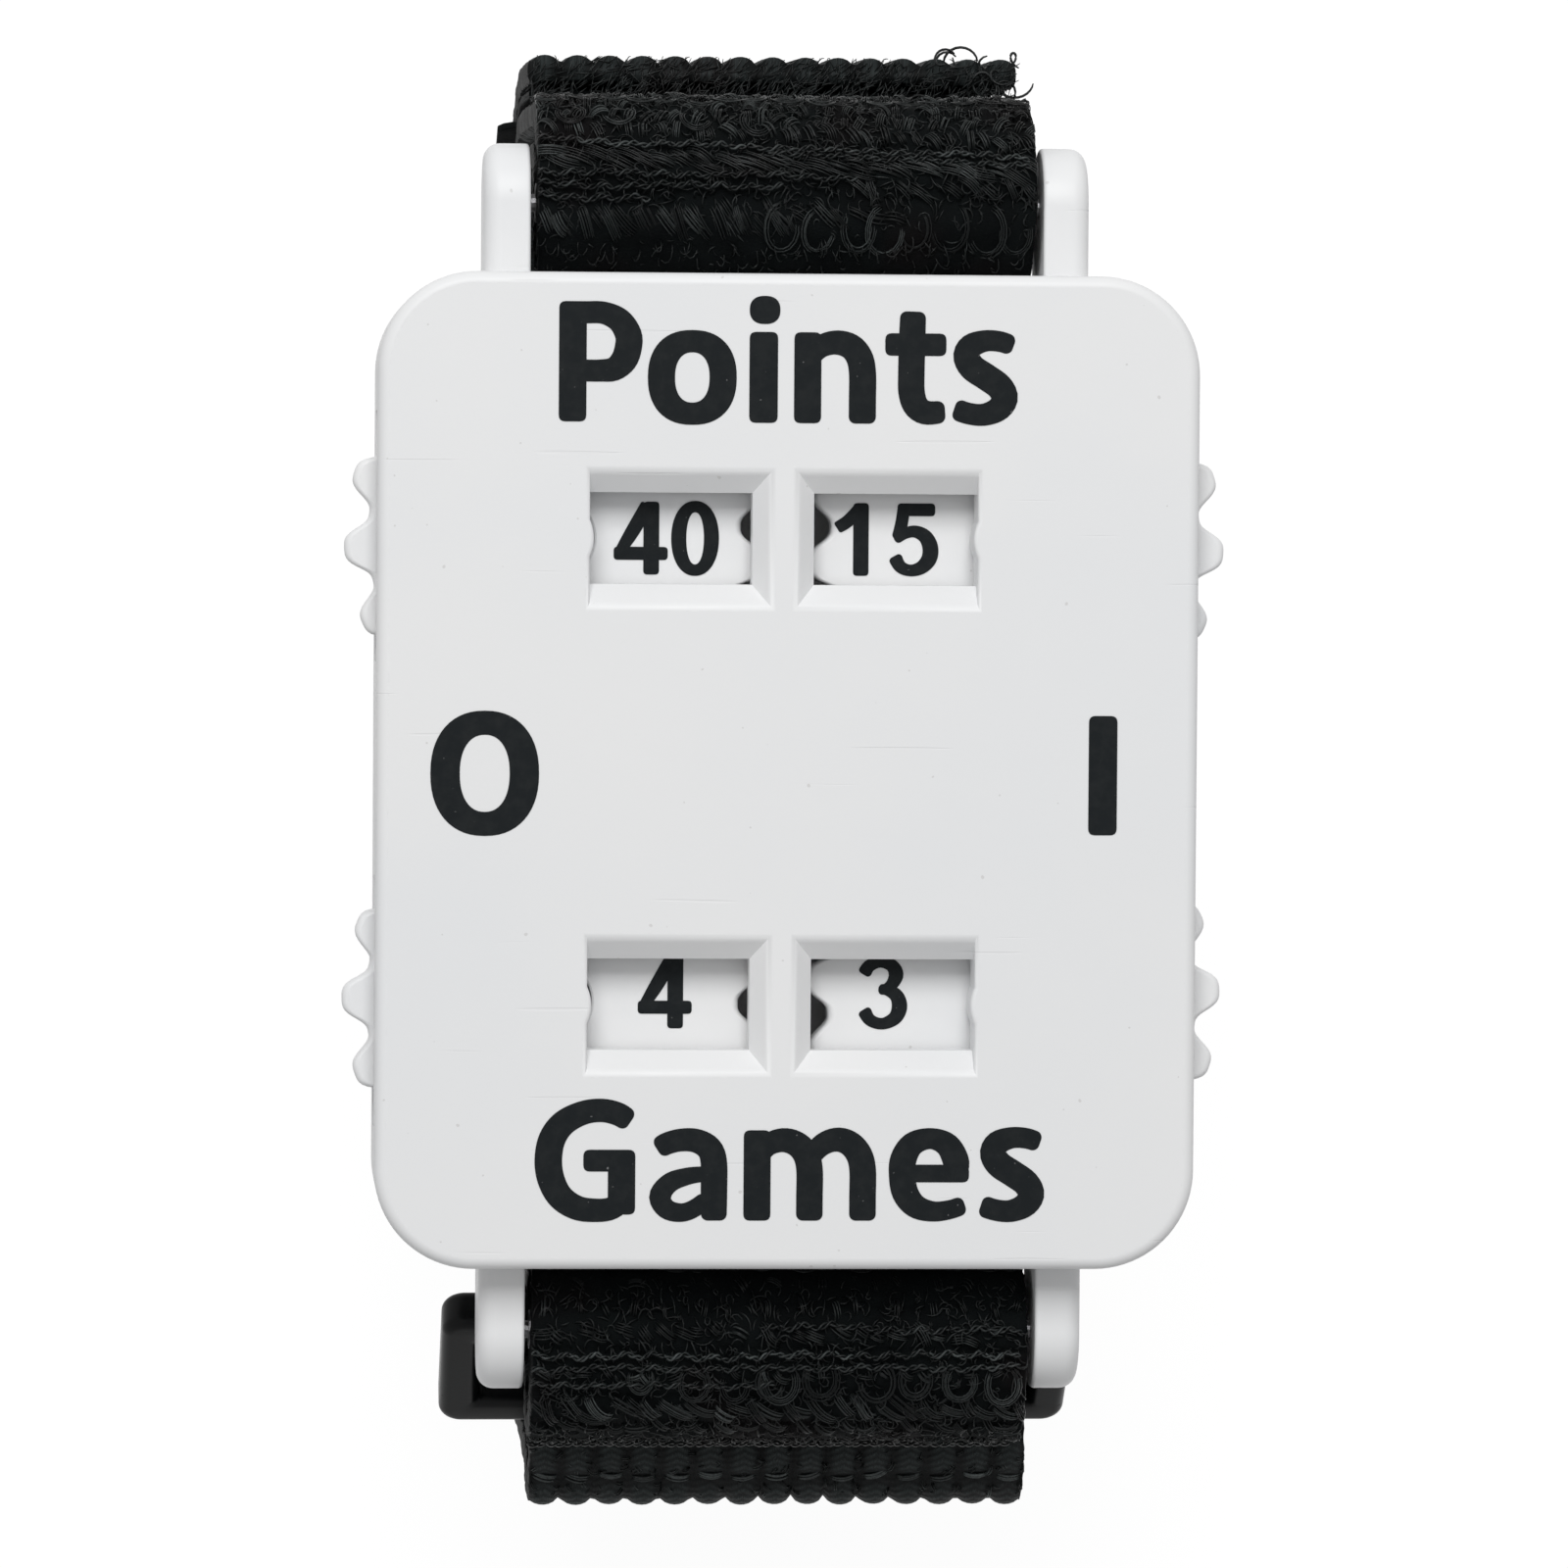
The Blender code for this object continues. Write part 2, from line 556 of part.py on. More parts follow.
def make_ring(finish):
    """A rectangular ring lying from its inner bar, on the ring strap, down to its outer bar."""
    length = RING_REACH + RING_BAR
    half = RING_THICKNESS / 2
    section = [
        (RING_EDGE, -half), (0, RING_EDGE - half), (0, half - RING_EDGE), (RING_EDGE, half),
        (RING_BAR - RING_EDGE, half), (RING_BAR, half - RING_EDGE),
        (RING_BAR, RING_EDGE - half), (RING_BAR - RING_EDGE, -half),
    ]
    rings = []
    for inset, z in section:
        radius = max(RING_CORNER - inset, RING_EDGE)
        outline = rounded_rectangle(RING_WIDTH - 2 * inset, length - 2 * inset, radius)
        rings.append(at_height(outline, z, (-RING_SIDESTEP, -RING_REACH / 2)))
    points, faces = skin(rings, closed=True)
    y, z = points[:, 1].copy(), points[:, 2].copy()
    points[:, 1] = y * math.cos(RING_TILT) - z * math.sin(RING_TILT) + RING_PIVOT[0]
    points[:, 2] = y * math.sin(RING_TILT) + z * math.cos(RING_TILT) + RING_PIVOT[1]
    solid("strap_ring", [(points, faces)], finish, (0, *RING_PIVOT))


def make_click_spring(name, sx, centre, finish):
    """An arched leaf whose crest reaches up to the dial's dimples: its rise is a squared cosine."""
    share = np.linspace(-1, 1, LOOP_STEPS + 1)
    foot = FLOOR_TOP + FIT + SPRING_STEEL / 2
    crest = DIAL_BOTTOM - FIT - SPRING_STEEL / 2
    path = np.column_stack([
        centre[1] + share * SPRING_SPAN / 2,
        foot + (crest - foot) * np.cos(share * math.pi / 2) ** 2,
    ])
    ribbon(name, path, SPRING_STEEL, SPRING_WIDTH, finish, centre[0] - sx * CLICK_RADIUS)


def make_screw(name, centre, finish):
    head = CASE_BOTTOM + FIT / 2
    seat = head + SCREW_HEAD_HEIGHT - FIT / 2
    tip = COVER_BOTTOM + SCREW_BITE
    levels = [
        (SCREW_HEAD_RADIUS - CROSS_WIDTH / 2, head),
        (SCREW_HEAD_RADIUS, head + CROSS_WIDTH / 2),
        (SCREW_HEAD_RADIUS, seat),
        (SCREW_RADIUS, seat),
        (SCREW_RADIUS, tip - SCREW_RADIUS / 2),
        (SCREW_RADIUS / 2, tip),
    ]
    screw = solid(name, [turned(levels, centre, FINE_SIDES)], finish, (*centre, head))
    arm, half = CROSS_ARM, CROSS_WIDTH / 2
    quarter = [(half, half), (half, arm), (-half, arm)]
    cross = []
    for k in range(4):
        c, s = round(math.cos(k * math.pi / 2)), round(math.sin(k * math.pi / 2))
        cross.extend([(c * x - s * y, s * x + c * y) for x, y in quarter])
    rings = [at_height(cross, z, centre) for z in (head - OVERRUN, head + CROSS_DEPTH)]
    boolean(screw, "DIFFERENCE", [skin(rings)])


def make_spring_bar(name, end, steel, bright):
    """A tube with a sprung tip in each end, along X, at the pin's place on one end of the case."""
    centre = (end * PIN_Y, PIN_Z)
    collar_out = LUG_GAP / 2 - FIT
    collar_in = collar_out - TIP_COLLAR
    tube_end = collar_in - TIP_TRAVEL - FIT
    bore = BAR_RADIUS - BAR_WALL
    tube = [(bore, -tube_end), (BAR_RADIUS, -tube_end), (BAR_RADIUS, tube_end), (bore, tube_end)]
    solid(f"{name}_tube", [turned_across(tube, centre, FINE_SIDES, closed=True)], steel, (0, *centre))
    tail_end = tube_end - TIP_TAIL
    for side, word in ((-1, "left"), (1, "right")):
        levels = [
            (TIP_RADIUS, tail_end),
            (TIP_RADIUS, collar_in),
            (BAR_RADIUS, collar_in),
            (BAR_RADIUS, collar_out),
            (TIP_RADIUS, collar_out),
            (TIP_RADIUS, LUG_GAP / 2 + TIP_BITE),
        ]
        tip = turned_across([(radius, side * x) for radius, x in levels], centre)
        solid(f"{name}_{word}_tip", [tip], bright, (side * collar_in, *centre))
    make_coil(f"{name}_coil", centre, tail_end - TIP_TRAVEL - FIT, bore - FIT, bright)


def make_coil(name, centre, half_length, outer_radius, finish):
    """A coil spring along X, drawn at the length that both tips leave it when they are pushed in."""
    radius = outer_radius - COIL_WIRE / 2
    turn = np.arange(COIL_TURNS * BEAD_SIDES + 1) * (2 * math.pi / BEAD_SIDES)
    x = np.linspace(-half_length + COIL_WIRE, half_length - COIL_WIRE, len(turn))
    middle = np.column_stack([x, centre[0] + radius * np.cos(turn), centre[1] + radius * np.sin(turn)])
    along = np.gradient(middle, axis=0)
    along /= np.linalg.norm(along, axis=1)[:, None]
    outward = np.column_stack([np.zeros(len(turn)), np.cos(turn), np.sin(turn)])
    beside = np.cross(along, outward)
    rings = []
    for point, u, v in zip(middle, outward, beside):
        rings.append([point + COIL_WIRE / 2 * (c * u + s * v) for c, s in circle(1, WIRE_SIDES)])
    pitch = (x[-1] - x[0]) / COIL_TURNS
    print(f"{name}: gap between turns {1000 * (pitch - COIL_WIRE):.2f} mm")
    solid(name, [skin(rings)], finish)


def main():
    clear_scene()
    white = material("white_plastic", (0.80, 0.80, 0.80), 0.42)
    dial_white = material("dial_plastic", (0.82, 0.82, 0.81), 0.38)
    webbing = material("loop_webbing", (0.010, 0.012, 0.012), 0.90)
    hooks = material("hook_tape", (0.012, 0.012, 0.013), 0.75)
    black = material("ring_plastic", (0.012, 0.012, 0.013), 0.28)
    steel = material("spring_steel", (0.55, 0.56, 0.58), 0.32, 1.0)
    bright = material("plated_steel", (0.72, 0.72, 0.73), 0.25, 1.0)

    make_cover(white)
    make_rear_case(white)
    for name, sx, centre in dial_places():
        make_dial(name, sx, centre, dial_white)
        make_click_spring(name.replace("dial", "click_spring"), sx, centre, steel)
        make_screw(name.replace("dial", "screw"), centre, bright)
    make_spring_bar("top_bar", 1, steel, bright)
    make_spring_bar("bottom_bar", -1, steel, bright)
    make_strap(webbing, hooks)
    make_ring_strap(webbing)
    make_ring(black)


main()
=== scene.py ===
# %% [markdown]
# # A wrist score counter
#
# A flat white plastic case is worn on the wrist on a hook and loop strap. Four toothed discs inside it
# carry the numbers of a score, and one number of each shows through a window in the front. This notebook
# dresses the CAD model: it keeps every place and size, and gives each piece its fine shape and finish.

import math

import bmesh
import bpy
import numpy as np
from mathutils import Matrix, Vector


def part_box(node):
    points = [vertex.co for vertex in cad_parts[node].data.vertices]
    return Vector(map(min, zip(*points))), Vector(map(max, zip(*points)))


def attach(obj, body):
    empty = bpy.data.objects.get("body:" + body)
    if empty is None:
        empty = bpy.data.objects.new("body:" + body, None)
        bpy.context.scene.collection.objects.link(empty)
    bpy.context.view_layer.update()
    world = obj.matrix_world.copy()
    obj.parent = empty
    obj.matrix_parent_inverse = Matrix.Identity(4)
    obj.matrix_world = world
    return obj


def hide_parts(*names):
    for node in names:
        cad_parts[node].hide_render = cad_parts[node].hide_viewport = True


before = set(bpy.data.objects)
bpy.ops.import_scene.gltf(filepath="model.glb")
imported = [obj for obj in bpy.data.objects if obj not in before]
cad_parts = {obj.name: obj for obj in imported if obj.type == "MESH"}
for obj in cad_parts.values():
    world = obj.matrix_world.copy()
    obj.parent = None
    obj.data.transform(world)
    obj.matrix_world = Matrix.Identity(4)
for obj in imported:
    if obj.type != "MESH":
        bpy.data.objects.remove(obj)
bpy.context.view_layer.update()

# %% [markdown]
# ## Sizes
#
# The lengths this script needs are repeated here by the same names as in the CAD source. Everything is
# in metres. X runs across the strap, Y along it, and Z up through the front.

# %% Lengths that the CAD model was built with
FIT, OVERRUN = 0.0003, 0.001
CASE_CORNER, CASE_WALL, CASE_FLOOR = 0.0050, 0.0016, 0.0018
COVER_EDGE, REAR_EDGE, REAR_DEPTH = 0.0006, 0.0012, 0.0069
TAB_THICKNESS, TAB_DEPTH, END_TAB_WIDTH, SIDE_TAB_WIDTH = 0.0010, 0.0014, 0.0080, 0.0046
SIDE_GROOVE = (0.0005, 0.0075, 0.0014)
WINDOW_BAR, WINDOW_HEIGHT, WINDOW_WALL_TO_AXIS = 0.0013, 0.0068, 0.00176
BEVEL_IN, BEVEL_UP, BOSS_RADIUS = 0.0009, 0.0011, 0.00213

DIAL_RADIUS, DIAL_THICKNESS, DIAL_UNDER_COVER = 0.0106, 0.0016, 0.0005
DIAL_ACROSS, DIAL_ALONG = 0.01166, 0.01170
TOOTH_DEPTH, TOOTH_COUNT = 0.0012, 17
HUB_RADIUS, HUB_HEIGHT, POST_RADIUS, SHOULDER_RADIUS = 0.0042, 0.0010, 0.0019, 0.0034
CLICK_RADIUS, CLICK_SIZE, SLOT_CLEARANCE = 0.0065, 0.0007, 0.0004
SPRING_SPAN, SPRING_WIDTH, STOP_LENGTH, STOP_HEIGHT = 0.0100, 0.0024, 0.0008, 0.0008
SCREW_RADIUS, SCREW_HEAD_RADIUS, SCREW_HEAD_HEIGHT, SCREW_BITE = 0.0008, 0.0019, 0.0011, 0.0012

LUG_THICKNESS, LUG_RADIUS, PIN_ROOM = 0.00235, 0.0030, 0.0006
BAR_RADIUS, TIP_BITE, TIP_RADIUS = 0.0010, 0.0011, 0.00045
STRAP_WIDTH, STRAP_THICKNESS, STRAP_SIDE_ROOM = 0.0254, 0.0017, 0.00025
LAYER_GAP, OPENING_WIDTH, FLAT_LENGTH, SIDE_HEIGHT = 0.0004, 0.0655, 0.0260, 0.0220
SHOULDER_BEND, SEWN_TAIL, TAIL_END_HEIGHT = 0.0047, 0.0090, 0.0350
HOOK_THICKNESS, HOOK_FIT, HOOK_SIDESTEP = 0.0004, 0.00015, 0.0012
HOOK_START_HEIGHT, HOOK_END_HEIGHT = 0.0120, 0.0375

RING_BAR, RING_THICKNESS, RING_REACH, RING_SIDE_ROOM = 0.0020, 0.0022, 0.0074, 0.0017
RING_SLOPE, RING_DROP, RING_SIDESTEP = 0.0057, 0.0060, 0.0005
RING_CORNER, RING_EDGE, RING_PLAY, RING_LIFT = 0.0012, 0.00035, 0.00065, 0.0005
FOLD_BULGE, RING_STRAP_BOW, RING_STRAP_FALL = 0.0025, 0.00525, 0.0045

# %% Places measured on the frame itself
cover_low, cover_high = (np.array(corner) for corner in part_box("front_cover"))
CASE_WIDTH, CASE_LENGTH = cover_high[:2] - cover_low[:2]
COVER_TOP = cover_high[2]
CASE_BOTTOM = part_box("rear_case")[0][2]
RIM = CASE_BOTTOM + REAR_DEPTH
COVER_BOTTOM = RIM + FIT
FLOOR_TOP = CASE_BOTTOM + CASE_FLOOR
DIAL_TOP = COVER_BOTTOM - DIAL_UNDER_COVER
DIAL_BOTTOM = DIAL_TOP - DIAL_THICKNESS
HUB_BOTTOM = DIAL_BOTTOM - HUB_HEIGHT
WINDOW_OUTER = DIAL_ACROSS - WINDOW_WALL_TO_AXIS
LUG_GAP = STRAP_WIDTH + 2 * STRAP_SIDE_ROOM
RING_WIDTH = STRAP_WIDTH + 2 * RING_SIDE_ROOM + 2 * RING_BAR
INNER_LAYER = 1.5 * STRAP_THICKNESS + LAYER_GAP
WRAP_RADIUS = BAR_RADIUS + FIT + STRAP_THICKNESS / 2
PIN_Y = CASE_LENGTH / 2 + PIN_ROOM + WRAP_RADIUS + STRAP_THICKNESS / 2
PIN_Z = RIM - FIT - LUG_RADIUS
RING_PIVOT = (-PIN_Y, PIN_Z - RING_DROP)
RING_TILT = math.asin(RING_SLOPE / RING_REACH)
RING_OUTER_BAR = (-PIN_Y - RING_REACH * math.cos(RING_TILT), RING_PIVOT[1] - RING_SLOPE)
FOLD_RADIUS = RING_BAR / 2 + RING_PLAY + STRAP_THICKNESS / 2
FOLD_HEIGHT = RING_OUTER_BAR[1] + RING_LIFT
SIDE_Y = (OPENING_WIDTH + STRAP_THICKNESS) / 2
TOP_SIDE_Y = PIN_Y + SHOULDER_BEND
RING_SIDE_Y = -RING_OUTER_BAR[0] - FOLD_RADIUS
LAYER_STEP = STRAP_THICKNESS + LAYER_GAP
HOOKED_STEP = STRAP_THICKNESS + HOOK_THICKNESS + 2 * HOOK_FIT

# %% Fine shapes that only this scene has
# Each window lies a little to one side of the CAD's and is a little smaller, with a rounded rim
BEVEL_DEPTH, WINDOW_RIM = 0.0010, 0.00022
WINDOW_SHIFT, WINDOW_TRIM = -0.00028, 0.00016

# Small rounds and chamfers of the mouldings, the root of a tab in the cover, and the teeth's shape
BREAK, SEAT_FLARE, TAB_ROOT = 0.0001, 0.0002, 0.0012
RIM_ROUND, LUG_INNER_ROUND, LUG_OUTER_ROUND = 0.00015, 0.0002, 0.00085
TOOTH_TOP_ROUND, TOOTH_LOW_ROUND, RING_ROUND = 0.00035, 0.00015, 0.00055
TIP_FLATNESS, VALLEY_FLATNESS = 1.8, 1.65

# The weave: its ribs, and the lines of lumps across them, counted from a line that shows on the fold
RIB_COUNT = 15
RIB_PITCH = STRAP_WIDTH / RIB_COUNT
RIB_DEPTH = 0.00072
LUMP_LENGTH, LUMP_START = 0.0025, 0.12175
LUMP_SKEW, LUMP_SHARPNESS, LUMP_SHARE = 0.12, 0.6, 0.70
ROW_PITCH, KNOT_PITCH = 0.0021, 0.0009
GROUND_FOOT, RIDGE_RISE, KNOT_RISE = 0.00045, 0.00025, 0.00008
EDGE_ROUND, EDGE_FLAT = 0.00018, 0.00022
SELVEDGE_NIP, SELVEDGE_PITCH = 0.00006, 0.0011

# How far the strap's loose end reaches from the fold, how much wider it lies there, and how far aside
LOOSE_REACH, LOOSE_SPREAD, LOOSE_SHIFT = 0.030, 0.024, 0.0007

# The hook patch stops short of its solid. Low down its left edge stands out, and higher up it's trimmed
HOOK_SHORTER, HOOK_CORNER, HOOK_TRIM = 0.0031, 0.0009, -0.0001
HOOK_CORNER_TOP, HOOK_CORNER_FADE = 0.0156, 0.0006

# Each dial: the sign of its X and Y, the angle of its outermost tooth above the outward direction in
# degrees, and its numbers in the order they pass the window, from the one that shows at rest
DIALS = {
    "opponent_points_dial": (-1, 1, -3.4, ["40", "A", "0", "15", "30"]),
    "own_points_dial": (1, 1, -3.3, ["15", "30", "40", "A", "0"]),
    "opponent_games_dial": (-1, -1, 0.7, ["4", "5", "6", "7", "0", "1", "2", "3"]),
    "own_games_dial": (1, -1, 3.7, ["3", "4", "5", "6", "7", "0", "1", "2"]),
}
print(f"case {CASE_WIDTH * 1000:.1f} x {CASE_LENGTH * 1000:.1f} mm, front at {COVER_TOP * 1000:.1f} mm")

# %% [markdown]
# ## Meshes from arrays
#
# Every new shape below is worked out as a whole array of points, and then put into a mesh at once. Three
# helpers do it: one makes the object, one joins rows of points into quads, and one sets tubes along many
# curves together. Rows of points can be read as a surface with two parameters: how far along it a point
# lies, and how far round.


# %% From points to an object
def make_piece(name, points, face_groups, finish, sharp=35):
    """A mesh object: points is (N, 3), and each face group is an array of (faces, corners)."""
    face_groups = [np.asarray(group) for group in face_groups]
    corners = np.concatenate([group.ravel() for group in face_groups])
    sizes = np.concatenate([np.full(len(group), group.shape[1]) for group in face_groups])
    mesh = bpy.data.meshes.new(name)
    mesh.vertices.add(len(points))
    mesh.vertices.foreach_set("co", np.ascontiguousarray(points, dtype=np.float32).ravel())
    mesh.loops.add(len(corners))
    mesh.loops.foreach_set("vertex_index", corners.astype(np.int32))
    mesh.polygons.add(len(sizes))
    mesh.polygons.foreach_set("loop_start", np.concatenate([[0], np.cumsum(sizes)[:-1]]).astype(np.int32))
    mesh.update(calc_edges=True)
    mesh.shade_smooth()
    if sharp:
        mesh.set_sharp_from_angle(angle=math.radians(sharp))
    if finish is not None:
        mesh.materials.append(finish)
    made = bpy.data.objects.new(name, mesh)
    bpy.context.scene.collection.objects.link(made)
    return made


def quads(rows, columns, close_rows=False, close_columns=False):
    """Faces that join a grid of points. Each quad is (r, c), (r, c + 1), (r + 1, c + 1), (r + 1, c)."""
    r = np.arange(rows if close_rows else rows - 1)[:, None]
    c = np.arange(columns if close_columns else columns - 1)[None, :]
    below, right = (r + 1) % rows, (c + 1) % columns
    faces = [r * columns + c, r * columns + right, below * columns + right, below * columns + c]
    return np.stack(np.broadcast_arrays(*faces), axis=-1).reshape(-1, 4)


def skin(rings, closed=False):
    """A skin over rings of points (R, N, 3): capped at both ends, or closed into a loop of rings."""
    rings = np.asarray(rings)
    count, columns = rings.shape[:2]
    groups = [quads(count, columns, close_rows=closed, close_columns=True)]
    if not closed:
        cap = np.arange(columns)[None, :]
        groups += [cap[:, ::-1], cap + (count - 1) * columns]
    return rings.reshape(-1, 3), groups


def together(parts):
    """Several skins as one: the points are stacked and the faces' numbers move up to match."""
    points, groups, start = [], [], 0
    for part_points, part_groups in parts:
        points.append(part_points)
        groups += [group + start for group in part_groups]
        start += len(part_points)
    return np.concatenate(points), groups


def tubes(paths, radius, outward, sides=4):
    """A round tube on each path (K, M, 3): a ring of points at each step, square to the path, starting
    from the side that faces outward. The radius may vary along the path."""
    paths = np.asarray(paths)
    along = np.gradient(paths, axis=1)
    along /= np.linalg.norm(along, axis=2, keepdims=True) + 1e-12
    outward = np.broadcast_to(outward, paths.shape)
    first = outward - along * np.sum(outward * along, axis=2, keepdims=True)
    first /= np.linalg.norm(first, axis=2, keepdims=True) + 1e-12
    second = np.cross(along, first)
    turn = np.arange(sides) * 2 * math.pi / sides
    ring = first[:, :, None] * np.cos(turn)[:, None] + second[:, :, None] * np.sin(turn)[:, None]
    points = paths[:, :, None] + ring * np.broadcast_to(radius, paths.shape[:2])[:, :, None, None]
    count, steps = paths.shape[:2]
    each = quads(steps, sides, close_columns=True)
    cap = np.arange(sides)[None, :]
    starts = (np.arange(count) * steps * sides)[:, None, None]
    ends = [cap[:, ::-1], cap + (steps - 1) * sides]
    groups = [(starts + group[None]).reshape(-1, group.shape[1]) for group in [each, *ends]]
    return points.reshape(-1, 3), groups


# %% Outlines, blocks and turned solids
def circle(radius, sides):
    """Points at even angles: x = radius cos(turn), y = radius sin(turn)."""
    turn = np.arange(sides) * (2 * math.pi / sides)
    return np.stack([radius * np.cos(turn), radius * np.sin(turn)], axis=1)


def at_height(outline, z, centre=(0, 0)):
    """An (X, Y) outline moved by the centre and placed at one Z."""
    outline = np.asarray(outline) + centre
    return np.column_stack([outline, np.full(len(outline), z)])


def across(outline, x):
    """A (Y, Z) outline placed at one X."""
    outline = np.asarray(outline)
    return np.column_stack([np.full(len(outline), x), outline])


def rounded_rectangle(width, length, radius, steps=20):
    """The outline of a rectangle whose corners are quarter circles, counter-clockwise."""
    corners = []
    for k, (sx, sy) in enumerate([(1, 1), (-1, 1), (-1, -1), (1, -1)]):
        turn = (k + np.linspace(0, 1, steps + 1)) * math.pi / 2
        centre = (sx * (width / 2 - radius), sy * (length / 2 - radius))
        corners.append(np.stack([np.cos(turn), np.sin(turn)], axis=1) * radius + centre)
    return np.concatenate(corners)


def slab(width, length, radius, levels, centre=(0, 0)):
    """A rounded block: at each level, (inset, z), its outline is the rectangle moved in by the inset."""
    rings = []
    for inset, z in levels:
        outline = rounded_rectangle(width - 2 * inset, length - 2 * inset, radius - inset)
        rings.append(at_height(outline, z, centre))
    return skin(rings)


def block(low, high):
    """A box between its lowest corner and its highest."""
    corners = [(low[0], low[1]), (high[0], low[1]), (high[0], high[1]), (low[0], high[1])]
    return skin([at_height(corners, low[2]), at_height(corners, high[2])])


def turned(levels, centre, sides=48):
    """A round solid standing along Z, from its levels, each (radius, z)."""
    return skin([at_height(circle(radius, sides), z, centre) for radius, z in levels])


def turned_across(levels, centre, sides=24):
    """A round solid lying along X, from its levels, each (radius, x), round a centre in Y and Z."""
    return skin([across(circle(radius, sides) + centre, x) for radius, x in levels])


def rounded_edge(radius, steps=8):
    """(inset, drop) pairs from an upright side over a quarter round onto the top."""
    turn = np.linspace(0, math.pi / 2, steps + 1)
    return [(radius * (1 - math.cos(a)), radius * (1 - math.sin(a))) for a in turn]


def dial_places():
    """Each dial's name, the sign of its side, and its axis in X and Y."""
    for name, (sx, sy, *rest) in DIALS.items():
        yield name, sx, (sx * DIAL_ACROSS, sy * DIAL_ALONG)


# %% Cutting one solid with another
def carve(target, operation, parts):
    """Joins the parts to the target or cuts them from it, and keeps the result as the target's mesh."""
    helper = make_piece(target.name + "_helper", *together(parts), None, sharp=0)
    recalculate(helper.data)
    step = target.modifiers.new("carve", "BOOLEAN")
    step.operation, step.solver, step.object = operation, "EXACT", helper
    settled(target)
    bpy.data.objects.remove(helper)


def recalculate(mesh):
    """Turns every face of a closed mesh outwards."""
    shell = bmesh.new()
    shell.from_mesh(mesh)
    bmesh.ops.recalc_face_normals(shell, faces=shell.faces)
    shell.to_mesh(mesh)
    shell.free()


def settled(target):
    """Applies the target's modifiers to its own mesh."""
    result = bpy.data.meshes.new_from_object(target.evaluated_get(bpy.context.evaluated_depsgraph_get()))
    target.modifiers.clear()
    old, target.data = target.data, result
    result.name = target.name
    bpy.data.meshes.remove(old)


def even_shading(piece, sharp=35):
    """Lets big flat faces set the normals of their corners, so narrow rounded edges don't streak them."""
    piece.data.shade_smooth()
    piece.data.set_sharp_from_angle(angle=math.radians(sharp))
    step = piece.modifiers.new("even shading", "WEIGHTED_NORMAL")
    step.mode, step.weight, step.keep_sharp = "FACE_AREA", 100, True


print("mesh helpers ready")

# %% [markdown]
# ## Shader maths
#
# Materials are easier to read as sums than as a drawing of nodes. `Wire` wraps one socket, and + - * /
# on wires add the Math nodes. `Nodes` is a node tree, and its `add` makes any other node from its type,
# its settings and its sockets. `Finish` is a material, and its `mix` blends two colours.


# %% Wires and finishes
class Wire:
    """One output socket of a node tree. Arithmetic with numbers or other wires adds Math nodes."""

    def __init__(self, finish, socket):
        self.finish, self.socket = finish, socket

    def _math(self, operation, first, second):
        return self.finish.add("ShaderNodeMath", {"operation": operation}, {0: first, 1: second})

    def __add__(self, other):
        return self._math("ADD", self, other)

    def __sub__(self, other):
        return self._math("SUBTRACT", self, other)

    def __rsub__(self, other):
        return self._math("SUBTRACT", other, self)

    def __mul__(self, other):
        return self._math("MULTIPLY", self, other)

    def part(self, operation):
        """One-sided operations: SINE, FRACT, ABSOLUTE and so on."""
        return self._math(operation, self, 0.0)

    def larger(self, other):
        return self._math("MAXIMUM", self, other)

    __radd__, __rmul__ = __add__, __mul__


class Nodes:
    """A node tree, to which any node can be added in one call."""

    def __init__(self, tree):
        self.tree = tree

    def put(self, socket, value):
        """Links a wire to a socket, or sets the socket's value. A colour gets its fourth channel."""
        if isinstance(value, Wire):
            self.tree.links.new(value.socket, socket)
        elif isinstance(value, tuple) and len(value) == 3 and socket.type == "RGBA":
            socket.default_value = (*value, 1.0)
        else:
            socket.default_value = value

    def add(self, kind, settings=None, sockets=None, out=0):
        """A node of this kind: its settings first, then the values or wires of its sockets."""
        node = self.tree.nodes.new(kind)
        for key, value in (settings or {}).items():
            setattr(node, key, value)
        for key, value in (sockets or {}).items():
            self.put(node.inputs[key], value)
        return Wire(self, node.outputs[out])


